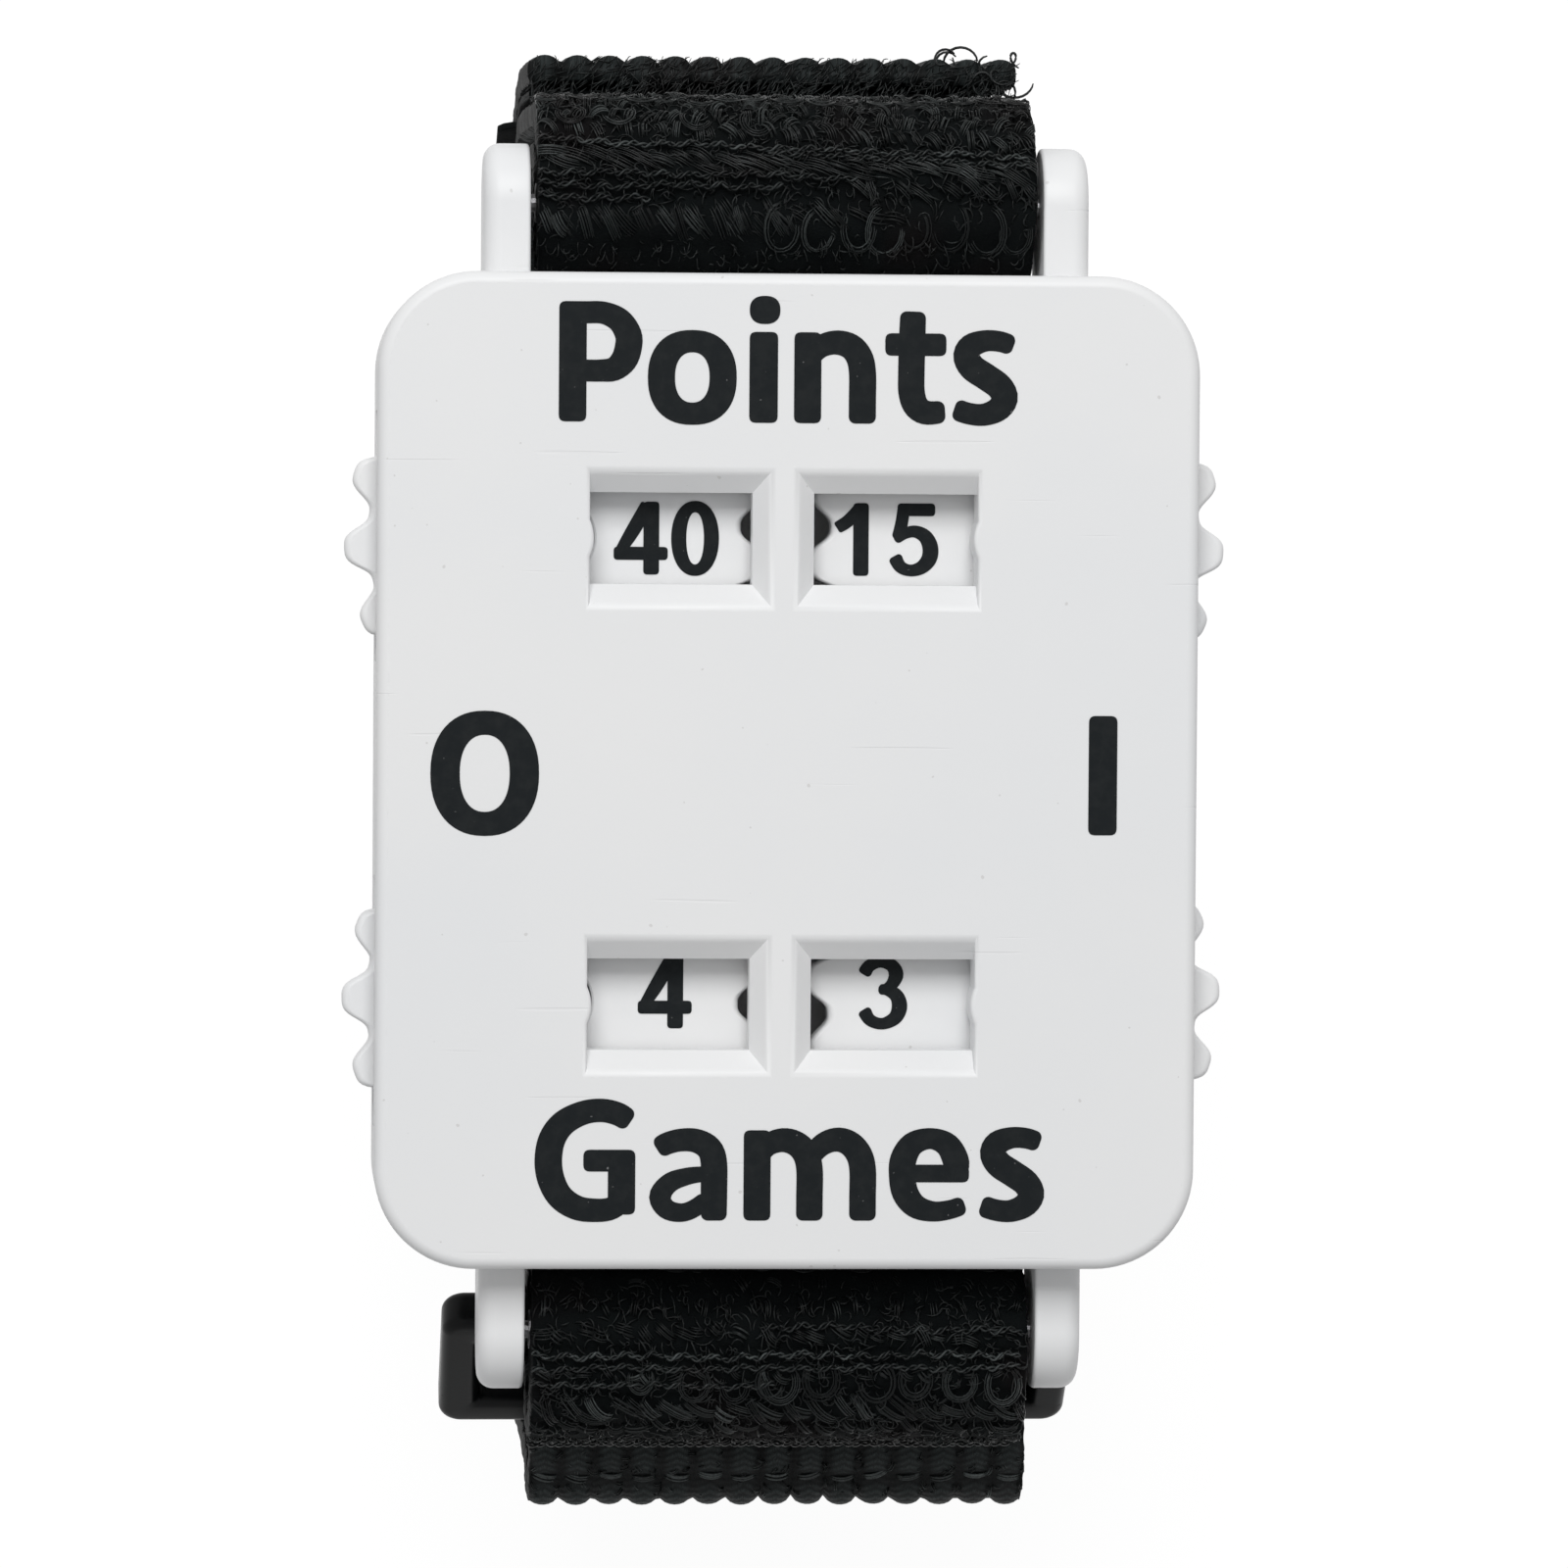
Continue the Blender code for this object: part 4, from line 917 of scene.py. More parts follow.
# %% The letters and numbers, as strokes on a capital a thousand units high
GLYPHS = {
    "P": [bar(0, 230, 0, 1000), pen(90, 908, 184, 220, 908, 184, 370, 905, 186, 500, 845, 205, 573, 735,
         222, 580, 640, 226, 545, 520, 222, 460, 440, 200, 350, 425, 184, 220, 424, 182, 90, 424, 182)],
    "o": [band((371, 373.5), (371, 394.5), (227, 185))],
    "i": [bar(0, 238, 0, 757), dot((127, 940), (128, 117), 2.4)],
    "n": [bar(0, 227, 0, 757), pen(110, 520, 160, 215, 635, 185, 345, 674, 200, 470, 642, 215, 545, 550,
         225, 571, 420, 227, 572, 200, 227, 572, 0, 227)],
    "t": [bar(0, 512, 568, 755), pen(232, 937, 215, 225, 700, 222, 220, 420, 222, 224, 260, 222, 262, 150,
         215, 350, 95, 200, 505, 105, 180)],
    "s": [pen(510, 655, 165, 400, 692, 172, 274, 698, 178, 155, 655, 205, 114, 570, 220, 165, 475, 225,
         285, 395, 225, 395, 315, 225, 437, 220, 225, 385, 130, 205, 265, 82, 185, 140, 90, 180, 15, 130,
         180)],
    "G": [pen(800, 825, 185, 700, 890, 195, 560, 922, 195, 400, 900, 200, 240, 815, 215, 145, 680, 226,
         115, 505, 230, 140, 340, 228, 220, 195, 218, 360, 105, 205, 520, 85, 195, 640, 100, 190, 745,
         165, 180), bar(408, 843, 410, 592), bar(614, 843, 50, 592)],
    "a": [pen(70, 595, 178, 150, 645, 185, 270, 675, 190, 400, 668, 200, 505, 605, 215, 545, 490, 222,
         548, 250, 222, 548, 0, 215), pen(520, 395, 120, 440, 388, 130, 320, 370, 145, 180, 318, 165, 94,
         205, 178, 150, 98, 168, 270, 66, 155, 380, 100, 150, 500, 190, 140)],
    "m": [bar(0, 227, 0, 757), pen(110, 520, 160, 205, 635, 185, 325, 675, 200, 440, 645, 212, 520, 560,
         221, 553, 430, 223, 554, 200, 223, 554, 0, 223), pen(550, 520, 160, 655, 635, 185, 775, 680, 200,
         885, 650, 212, 965, 560, 221, 999, 430, 224, 1000, 200, 224, 1000, 0, 224)],
    "e": [pen(560, 400, 200, 563, 500, 222, 490, 635, 205, 350, 690, 175, 200, 645, 200, 122, 520, 222,
         112, 380, 224, 140, 230, 222, 230, 120, 200, 370, 78, 170, 510, 92, 160, 640, 135, 155), bar(120,
         674, 322, 470)],
    "O": [band((453, 505), (453, 522), (245, 200), 2.25)],
    "I": [bar(0, 240, 0, 1000)],
    "A": [pen(110, 0, 220, 245, 450, 220, 380, 990, 220), bar(150, 610, 200, 375), pen(650, 0, 220, 515,
         450, 220, 380, 990, 220)],
    "0": [band((329, 500), (329, 515), (208, 158), 2.15)],
    "1": [bar(266, 480, 0, 1000), pen(40, 655, 165, 200, 760, 175, 370, 960, 150, ends=30)],
    "2": [pen(95, 700, 200, 170, 860, 185, 330, 920, 165, 500, 865, 190, 560, 730, 210, 480, 550, 200,
         300, 350, 190, 150, 130, 180), bar(0, 670, 0, 180)],
    "3": [pen(85, 745, 190, 160, 865, 175, 310, 922, 158, 470, 875, 180, 533, 750, 205, 480, 620, 170,
         380, 545, 140, 290, 540, 135), pen(290, 545, 135, 420, 535, 160, 545, 450, 195, 583, 300, 215,
         520, 150, 190, 350, 70, 160, 180, 120, 170, 85, 265, 195)],
    "4": [bar(408, 625, 0, 1000), bar(0, 744, 200, 380), pen(70, 290, 140, 250, 580, 190, 470, 960, 200,
         ends=30)],
    "5": [bar(125, 645, 825, 1000), pen(215, 960, 170, 185, 740, 175, 135, 505, 185), pen(90, 490, 130,
         230, 585, 150, 370, 614, 166, 510, 545, 195, 580, 400, 218, 565, 240, 215, 460, 120, 185, 310,
         78, 162, 170, 130, 175, 85, 275, 195)],
    "6": [band((345, 320), (345, 335), (212, 155), 2.1), pen(590, 760, 180, 500, 890, 175, 360, 930, 165,
         200, 850, 190, 115, 660, 210, 106, 400, 212)],
    "7": [bar(20, 680, 820, 1000), pen(610, 900, 140, 440, 640, 190, 330, 350, 215, 290, 10, 220)],
}


def stroke_solid(stroke, size, corner, film):
    """One stroke as a thin slab, standing from the film's foot to its top."""
    outlines = stroke if isinstance(stroke, tuple) else (stroke,)
    placed = [np.asarray(outline) * size + corner for outline in outlines]
    if len(placed) == 1:
        return skin([at_height(placed[0], z) for z in film])
    out, back = placed
    low, high = film
    sides = [at_height(out, low), at_height(out, high), at_height(back, high), at_height(back, low)]
    return skin(sides, closed=True)


def printed(name, text, body, places, size, foot, film, turn=0.0, pivot=(0, 0)):
    """Each letter starts at its place along the line; the whole film is then turned about a pivot."""
    strokes = []
    for letter, place in zip(text, places):
        corner = (foot[0] + place * size, foot[1])
        strokes += [stroke_solid(stroke, size, corner, film) for stroke in GLYPHS[letter]]
    piece = make_piece(name, *strokes[0], INK, sharp=0)
    recalculate(piece.data)
    for stroke in strokes[1:]:
        carve(piece, "UNION", [stroke])
    points = np.empty(len(piece.data.vertices) * 3)
    piece.data.vertices.foreach_get("co", points)
    points = points.reshape(-1, 3)
    flat = points[:, :2] - pivot
    c, s = math.cos(turn), math.sin(turn)
    points[:, 0] = pivot[0] + c * flat[:, 0] - s * flat[:, 1]
    points[:, 1] = pivot[1] + s * flat[:, 0] + c * flat[:, 1]
    piece.data.vertices.foreach_set("co", points.ravel())
    piece.data.update()
    piece.data.shade_flat()
    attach(piece, body)
    return piece


# %% Words and side marks on the cover
FILM_FOOT, FILM_RISE = 0.00002, 0.00003
COVER_FILM = (COVER_TOP - FILM_FOOT, COVER_TOP + FILM_RISE)
DIAL_FILM = (DIAL_TOP - FILM_FOOT, DIAL_TOP + FILM_RISE)
CAPITAL = 0.0060
LEGENDS = {
    "points_word": ("Points", (0, 0.741, 1.589, 1.963, 2.723, 3.289), (-0.01163, 0.01752)),
    "games_word": ("Games", (0, 0.955, 1.750, 2.970, 3.730), (-0.01262, -0.02250)),
    "opponent_side_mark": ("O", (0,), (-0.01794, -0.00312)),
    "own_side_mark": ("I", (0,), (0.01512, -0.00307)),
}
for name, (text, places, foot) in LEGENDS.items():
    legend = printed(name, text, "case", places, CAPITAL, foot, COVER_FILM)
    print(name, len(legend.data.polygons), "faces")

# %% Numbers on the dials
DIGIT_HEIGHT = 0.00367
NUMBER_RADIUS = 0.0061
# The number that shows at rest is moved a little, to where the photograph has it
NUMBER_SHIFT, GAMES_RISE = -0.0005, 0.0005
NUMBER_PLACES = {"15": (0, 0.75), "30": (0, 0.73), "40": (0, 0.79)}
NUMBER_WIDTH = {1: 0.70, 2: 1.44}


def print_numbers(name, sx, centre):
    """Each number stands upright when its click brings it under the window: it is placed on the line
    towards the other column, and then turned about the dial's axis by its share of a whole turn."""
    numbers = DIALS[name][3]
    for k, number in enumerate(numbers):
        shift, rise = (NUMBER_SHIFT, GAMES_RISE if "games" in name else 0.0) if k == 0 else (0.0, 0.0)
        x = centre[0] + shift - sx * NUMBER_RADIUS - NUMBER_WIDTH[len(number)] * DIGIT_HEIGHT / 2
        foot = (x, centre[1] + rise - DIGIT_HEIGHT / 2)
        turn = -2 * math.pi * k / len(numbers)
        piece_name = name.replace("dial", "number_" + number)
        places = NUMBER_PLACES.get(number, (0,))
        printed(piece_name, number, name, places, DIGIT_HEIGHT, foot, DIAL_FILM, turn, centre)


for name, sx, centre in dial_places():
    print_numbers(name, sx, centre)
print("numbers printed")


# %% [markdown]
# ## The strap's path
#
# The strap is one long tape. From its free end it runs down outside the wrist, round to the ring, folds
# back through it, runs round again as the inner layer, rises over the top shoulder and wraps the top
# spring bar. The path below repeats the CAD model's in (Y, Z), with finer steps. `Tape` measures it by
# the length run along it, so that any weave can be drawn flat, as (along, across, out), and laid on it.

# %% Paths and tapes
def arc(centre, radius, start, end, steps=80):
    """Points of a (Y, Z) arc, from start to end in quarter turns."""
    turn = np.linspace(start, end, steps + 1) * math.pi / 2
    return np.stack([centre[0] + radius * np.cos(turn), centre[1] + radius * np.sin(turn)], axis=1)


def ease(t):
    """A smooth step: 0 below 0, 1 above 1, and 3 t squared less 2 t cubed between."""
    t = np.clip(t, 0, 1)
    return t * t * (3 - 2 * t)


def strap_side(top_y, top_z):
    """The strap's upright side from its widest height up to top_z, easing over to top_y."""
    z = np.linspace(SIDE_HEIGHT, top_z, 60)
    y = SIDE_Y + (top_y - SIDE_Y) * ease((z - SIDE_HEIGHT) / (top_z - SIDE_HEIGHT))
    return np.column_stack([y, z])


def inner_loop():
    """The inner layer round the wrist, from the ring to the top shoulder: side, quarter ellipse, flat."""
    quarter = np.linspace(0, math.pi / 2, 120)
    half_flat = FLAT_LENGTH / 2
    y = half_flat + (SIDE_Y - half_flat) * np.sin(quarter)
    z = SIDE_HEIGHT - (SIDE_HEIGHT - INNER_LAYER) * np.cos(quarter)
    low_right = np.column_stack([y, z])
    low_left = low_right[::-1] * (-1, 1)
    ring_side = strap_side(RING_SIDE_Y, FOLD_HEIGHT)[::-1] * (-1, 1)
    top_side = strap_side(TOP_SIDE_Y, PIN_Z + WRAP_RADIUS - SHOULDER_BEND)
    flat = np.column_stack([np.linspace(-half_flat, half_flat, 60)[1:-1], np.full(58, INNER_LAYER)])
    return np.concatenate([ring_side[:-1], low_left, flat, low_right, top_side[1:]])


def run_of(path):
    """The length run along a path up to each of its points."""
    return np.concatenate([[0], np.cumsum(np.linalg.norm(np.diff(path, axis=0), axis=1))])


def outward_step(path, step):
    """The path moved outwards, square to itself, by step at each of its points."""
    along = np.gradient(path, axis=0)
    along /= np.linalg.norm(along, axis=1)[:, None]
    return path + np.column_stack([along[:, 1], -along[:, 0]]) * step[:, None]


def layer_steps(path):
    """How far apart the two layers' middles are: wide at the ring, close, then room for the hooks."""
    share = run_of(path) / run_of(path)[-1]
    at_ring = (2 * FOLD_RADIUS + FOLD_BULGE - LAYER_STEP) * (1 - ease(share / 0.10))
    at_hooks = (HOOKED_STEP - LAYER_STEP) * ease((share - 0.66) / 0.10)
    return LAYER_STEP + at_ring + at_hooks


class Tape:
    """A strip's middle line in Y and Z. Its normal points to the left of its direction of travel, and
    loose is the length along it at which it hangs loose, or negative if it doesn't."""

    loose = -1.0

    def __init__(self, path, closed=False, step=0.0001, reach=7):
        """The path is measured out in even steps, and each point becomes the mean of its neighbours."""
        keep = np.concatenate([[True], np.linalg.norm(np.diff(path, axis=0), axis=1) > 1e-7])
        path = path[keep]
        if closed:
            path = np.concatenate([path, path[:1]])
        run = run_of(path)
        self.length, self.closed = run[-1], closed
        self.s = np.linspace(0, run[-1], int(run[-1] / step))
        soften = np.ones(2 * reach + 1) / (2 * reach + 1)
        even = [np.interp(self.s, run, path[:, k]) for k in (0, 1)]
        if closed:
            padded = [np.concatenate([row[-reach - 1:-1], row, row[1:reach + 1]]) for row in even]
        else:
            padded = [np.pad(row, reach, mode="reflect", reflect_type="odd") for row in even]
        self.y, self.z = (np.convolve(row, soften, mode="valid") for row in padded)
        self.lean = np.unwrap(np.arctan2(np.gradient(self.z), np.gradient(self.y)))

    def aside(self, s, u):
        """Where the tape hangs loose it spreads a little and lies to one side."""
        near = ease(1 - np.abs(s - self.loose) / LOOSE_REACH)
        return u * (1 + LOOSE_SPREAD * near) + LOOSE_SHIFT * near

    def place(self, s, u, h):
        """World points for flat places: along the tape, across it, and out of its middle surface."""
        s, u, h = np.broadcast_arrays(s, u, h)
        u = self.aside(s, u)
        s = s % self.length if self.closed else s
        lean = np.interp(s, self.s, self.lean)
        before = np.minimum(s, 0)
        y = np.interp(s, self.s, self.y) - h * np.sin(lean) + before * np.cos(lean)
        z = np.interp(s, self.s, self.z) + h * np.cos(lean) + before * np.sin(lean)
        return np.stack([u, y, z], axis=-1)

    def outward(self, s, sign=1.0):
        """The direction out of the tape at a length along it."""
        s = s % self.length if self.closed else s
        lean = np.interp(s, self.s, self.lean)
        return np.stack([np.zeros_like(lean), -sign * np.sin(lean), sign * np.cos(lean)], axis=-1)


def long_path():
    """Outer layer, fold, inner layer, shoulder, wrap and sewn tail, and where each of them starts."""
    loop = inner_loop()
    outer = outward_step(loop, layer_steps(loop))
    top = np.where(outer[:, 0] < 0, FOLD_HEIGHT - 2 * STRAP_THICKNESS, TAIL_END_HEIGHT)
    outer = outer[outer[:, 1] < top][::-1]
    fold = arc((RING_OUTER_BAR[0], FOLD_HEIGHT), FOLD_RADIUS, 2, 0)
    fold[:, 0] -= np.clip(RING_OUTER_BAR[0] - fold[:, 0], 0, None) * FOLD_BULGE / FOLD_RADIUS
    bend_top = PIN_Z + WRAP_RADIUS - SHOULDER_BEND
    bend = arc((PIN_Y, bend_top), SHOULDER_BEND, 0, 1)
    wrap = arc((PIN_Y, PIN_Z), WRAP_RADIUS, 1, 3)
    inset = STRAP_THICKNESS + FIT
    tail_bend = SHOULDER_BEND - inset
    tail_top = PIN_Z - WRAP_RADIUS - tail_bend
    tail = arc((PIN_Y, tail_top), tail_bend, 1, 0)
    end_z = np.linspace(tail_top, tail_top - SEWN_TAIL, 20)
    end = np.column_stack([np.full(20, TOP_SIDE_Y - inset), end_z])
    parts = [outer, fold[:-1], loop[:-1], bend, wrap[1:], tail[1:], end[1:]]
    whole = np.concatenate(parts)
    starts = run_of(whole)[np.cumsum([0] + [len(part) for part in parts[:-1]])]
    return whole, starts


whole_path, strap_starts = long_path()
strap_tape = Tape(whole_path)
FOLD_START, LOOP_START, BEND_START, WRAP_START = strap_starts[1:5]
strap_tape.loose = FOLD_START + 0.002
print(f"strap {strap_tape.length * 1000:.0f} mm long; fold at {FOLD_START * 1000:.0f} mm,",
      f"shoulder at {BEND_START * 1000:.0f} mm, wrap at {WRAP_START * 1000:.0f} mm")


def ring_strap_path():
    """Round the spring bar, a quarter ellipse bowing out, a quadratic curve back, and round the ring."""
    low_radius = math.hypot(RING_BAR / 2, RING_THICKNESS / 2 - RING_EDGE) + FIT + STRAP_THICKNESS / 2
    top = arc((-PIN_Y, PIN_Z), WRAP_RADIUS, 0, 1)
    low = arc(RING_PIVOT, low_radius, 2.5, 4)
    bow = arc((0, 0), 1, 1, 2) * (RING_STRAP_BOW, RING_STRAP_FALL)
    bow += (-PIN_Y, PIN_Z + WRAP_RADIUS - RING_STRAP_FALL)
    first, last = bow[-1], low[0]
    pull = np.array([first[0], last[1] + last[0] - first[0]])
    t = np.linspace(0, 1, 80)[1:-1, None]
    back = (1 - t) ** 2 * first + 2 * t * (1 - t) * pull + t ** 2 * last
    return np.concatenate([top, bow[1:], back, low])


ring_tape = Tape(ring_strap_path(), True)
print(f"ring strap {ring_tape.length * 1000:.1f} mm round")


# %% [markdown]
# ## The woven strap
#
# One face of the tape is plain: 15 round ribs run along it, and cross threads tie them down every two
# millimetres or so, which makes rows of lumps. The other face carries the loops, on a ground of low
# ridges across the tape. Both faces and the two rounded selvedges are one closed section, and the section
# is carried along the tape. Slow waves shift the ribs a little, because no woven rib is quite straight.

# %% Weave shapes
def waver(s, seed, size, length):
    """A slow wave along the tape: three sines of unlike lengths and seeded phases."""
    phase = np.random.default_rng(seed).uniform(0, 2 * math.pi, 3)
    waves = [np.sin(2 * math.pi * s / (length * k) + phase[i]) / k for i, k in enumerate((1.0, 1.7, 2.9))]
    return size * sum(waves) / 1.9


def lump_skew(number):
    """How far along the lumps of each rib lie from their line, as an angle."""
    return LUMP_SKEW * np.sin(number * 2.3)


def rib_height(s, u):
    """The ribbed face, below its crest: each rib is round across, and nips in at every cross thread."""
    place = (u + waver(s, 5, 0.00008, 0.009)) / RIB_PITCH + RIB_COUNT / 2
    inside = 2 * (place % 1.0) - 1
    number = np.floor(place)
    round_top = np.sqrt(np.clip(1 - 0.97 * inside ** 2, 0, 1))
    lumps = np.abs(np.sin(math.pi * (s - LUMP_START) / LUMP_LENGTH + lump_skew(number))) ** LUMP_SHARPNESS
    return -RIB_DEPTH * (1 - round_top * (1 - LUMP_SHARE * (1 - lumps)))


def ground_height(s, u):
    """The loop face's ground: low round ridges across the tape, one for each row of loops."""
    ridge = np.abs(np.sin(math.pi * (s + waver(u, 8, 0.00015, 0.011)) / ROW_PITCH)) ** 0.7
    knots = 0.5 + 0.5 * np.sin(2 * math.pi * u / KNOT_PITCH + 3 * np.sin(math.pi * s / ROW_PITCH))
    return -GROUND_FOOT + RIDGE_RISE * ridge + KNOT_RISE * knots


def woven_skin(tape, s, rib_points, ground_points, puff):
    """A closed section carried along the tape. Its points run over the ribs, round one selvedge, back
    over the ground and round the other; each point's height is the weave's, plus half the thickness.
    puff is how much the ground swells at each length, where the pile is crowded."""
    flat = STRAP_WIDTH / 2 - EDGE_ROUND
    half = STRAP_THICKNESS / 2
    rib_u = np.linspace(-flat, flat, rib_points)
    ground_u = np.linspace(flat, -flat, ground_points)
    turn = np.linspace(math.pi / 2, -math.pi / 2, 7)[1:-1]
    nips = SELVEDGE_NIP * np.abs(np.sin(math.pi * s / SELVEDGE_PITCH))
    scallop = (waver(s, 11, 0.00005, 0.0042) - nips)[:, None]
    s_grid = s[:, None]
    ribs = half + rib_height(s_grid, rib_u[None, :])
    ground = -half - ground_height(s_grid, ground_u[None, :]) - puff[:, None]
    right_u = flat + (EDGE_ROUND + scallop) * np.cos(turn)[None, :]
    left_u = -flat - (EDGE_ROUND + scallop) * np.cos(turn)[None, :]
    edge_h = (half - EDGE_FLAT) * np.sin(turn)[None, :] + 0 * s_grid
    u = np.concatenate([rib_u + 0 * s_grid, right_u, ground_u + 0 * s_grid, left_u[:, ::-1]], axis=1)
    h = np.concatenate([ribs, edge_h, ground, edge_h[:, ::-1]], axis=1)
    return u, h


def add_weave_map(piece, u, s):
    """The piece's own map: across the tape and along it, in centimetres, at every face's corners."""
    layer = piece.data.uv_layers.new(name="weave")
    corners = np.empty(len(piece.data.loops), dtype=np.int32)
    piece.data.loops.foreach_get("vertex_index", corners)
    layer.data.foreach_set("uv", (np.column_stack([u.ravel(), s.ravel()])[corners] * 100).ravel())


def swell(s, middle, reach, size):
    """A smooth rise to size at the middle length, and back to nothing at reach on both sides."""
    return size * ease(1 - np.abs(s - middle) / reach)


def make_webbing(name, tape, s, rib_points, ground_points, puff=0.0, closed=False):
    """The woven section at each length s of the tape, as one skin: ribs and ground differ in finish."""
    u, h = woven_skin(tape, s, rib_points, ground_points, puff + 0 * s)
    s_grid = np.broadcast_to(s[:, None], u.shape)
    points = tape.place(s_grid, u, h)
    piece = make_piece(name, *skin(points, closed=closed), RIBS, sharp=0)
    recalculate(piece.data)
    add_weave_map(piece, u, s_grid)
    piece.data.materials.append(GROUND)
    columns = u.shape[1]
    number = np.arange(len(piece.data.polygons)) % columns
    on_ground = (number >= rib_points + 4) & (number < rib_points + 4 + ground_points)
    piece.data.polygons.foreach_set("material_index", on_ground.astype(np.int32))
    return piece


def even_steps(start, end, step):
    """Lengths from start to end, as near to step apart as even spacing allows."""
    return np.linspace(start, end, max(2, int(round((end - start) / step))))


# %% Weave the strap in two pieces
HIDDEN_SEAM = LOOP_START + 0.002
outer_s = np.concatenate([
    even_steps(0, 0.008, 0.00022)[:-1], even_steps(0.008, FOLD_START - 0.004, 0.0004)[:-1],
    even_steps(FOLD_START - 0.004, HIDDEN_SEAM, 0.00018),
])
inner_s = np.concatenate([
    even_steps(HIDDEN_SEAM, BEND_START - 0.012, 0.0004)[:-1],
    even_steps(BEND_START - 0.012, strap_tape.length, 0.00025),
])
FINE_RIBS, COARSE_RIBS = RIB_COUNT * 7 + 1, RIB_COUNT * 6 + 1
outer_strap = make_webbing("strap_outer_layer", strap_tape, outer_s, FINE_RIBS, 32)
puff = swell(inner_s, WRAP_START + 0.0037, 0.0042, 0.00086)
inner_strap = make_webbing("strap_inner_layer", strap_tape, inner_s, COARSE_RIBS, 60, puff)
for piece in (outer_strap, inner_strap):
    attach(piece, "case")
    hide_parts("long_strap")
    print(piece.name, 2 * len(piece.data.polygons), "triangles")

ring_s = np.arange(0, 220) * ring_tape.length / 220
around = (ring_s + ring_tape.length / 2) % ring_tape.length - ring_tape.length / 2
puff = swell(around, -0.0006, 0.0034, 0.00048)
ring_strap = make_webbing("ring_strap_webbing", ring_tape, ring_s, COARSE_RIBS, 76, puff, closed=True)
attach(ring_strap, "case")
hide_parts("ring_strap")
print(ring_strap.name, 2 * len(ring_strap.data.polygons), "triangles")


# %% [markdown]
# ## Loops and cords
#
# The loop face is a pile of fine yarns. In rows across the tape some lie as round loops and some as
# slanted strands; between the rows run thin cords, and short loose fibres fill the rest. Each is drawn
# flat as a curve in (along, across, out), hundreds at once, laid on the tape and given a thin tube. Places
# and angles come from a seeded draw, so the pile is uneven but the same each time. Every bundle has a
# tone, its share of painted highlight, so that a few look lit and most stay dark.

# %% Yarn shapes
# How far from the tape's middle yarns start, and how far to each side they may lie
PILE_FOOT = STRAP_THICKNESS / 2 - 0.00040
USED_WIDTH = STRAP_WIDTH / 2 - 0.0001
CORD_HEIGHT, SWAY_LENGTH = 0.00052, 0.0015


def spread(rng, span, spacing, jitter=0.35):
    """Places across the tape from span[0] to span[1], about spacing apart."""
    u = np.arange(span[0] + spacing / 2, span[1], spacing)
    return u + rng.uniform(-jitter, jitter, len(u)) * spacing


def bundled(rng, along, over, out, filaments, apart, tone):
    """Copies of every curve side by side, shifted square to it, with one tone, a share of painted
    highlight, for each bundle.
    """
    da, do = np.gradient(along, axis=1), np.gradient(over, axis=1)
    size = np.hypot(da, do) + 1e-12
    shapes, tones = [], []
    for k in range(filaments):
        shift = (k - (filaments - 1) / 2) * apart + rng.normal(0, apart * 0.25, len(along))[:, None]
        rise = rng.uniform(-0.00003, 0.00005, len(along))[:, None]
        curve = np.stack([along - do / size * shift, over + da / size * shift, out + rise], axis=-1)
        curve[..., 1] = np.clip(curve[..., 1], -USED_WIDTH, USED_WIDTH)
        shapes.append(curve)
        tones.append(tone * rng.uniform(0.6, 1.2, len(along)))
    return np.concatenate(shapes), np.concatenate(tones)


def painted_shine_share(rng, count, level):
    """Each bundle's share of painted highlight: mostly low, now and then high."""
    return level * rng.beta(0.8, 2.6, count)


def round_loops(rng, row, slope, span, spacing, size, level, filaments=3, steps=13):
    """Loops lying nearly flat: most of a circle each, higher in the middle than at its two feet."""
    u = spread(rng, span, spacing, 0.20)
    t = np.linspace(-1, 1, steps)[None, :]
    radius = size / 2 * rng.uniform(0.82, 1.12, len(u))[:, None]
    turn = t * rng.uniform(1.9, 2.5, len(u))[:, None]
    lean = rng.normal(0.0, 0.35, len(u))[:, None]
    along = (row + slope * u)[:, None] + radius * np.cos(turn + lean)
    along = along + rng.normal(0, 0.00010, len(u))[:, None]
    over = u[:, None] + radius * 0.92 * np.sin(turn + lean)
    out = PILE_FOOT + 0.00015 + rng.uniform(0.00035, 0.00055, len(u))[:, None] * np.sqrt(1 - 0.9 * t ** 2)
    return bundled(rng, along, over, out, filaments, 0.00010, painted_shine_share(rng, len(u), level))


def strands(rng, row, slope, span, spacing, length, angle, level, spread_angle=0.2, filaments=4, steps=9):
    """Strands over the row: lines at an angle to it, slightly bowed, with their ends in the ground."""
    u = spread(rng, span, spacing)
    t = np.linspace(-0.5, 0.5, steps)[None, :]
    run = length * rng.uniform(0.65, 1.2, len(u))[:, None]
    lean = rng.normal(angle, spread_angle, len(u))[:, None]
    bow = rng.normal(0, 0.22, len(u))[:, None] * run * (0.25 - t ** 2)
    over = u[:, None] + np.cos(lean) * t * run - np.sin(lean) * bow
    start = (row + slope * u + rng.normal(0, 0.00012, len(u)))[:, None]
    along = start + np.sin(lean) * t * run + np.cos(lean) * bow
    out = PILE_FOOT + rng.uniform(0.00040, 0.00062, len(u))[:, None] * np.cos(t * math.pi) ** 0.5
    return bundled(rng, along, over, out, filaments, 0.00011, painted_shine_share(rng, len(u), level))


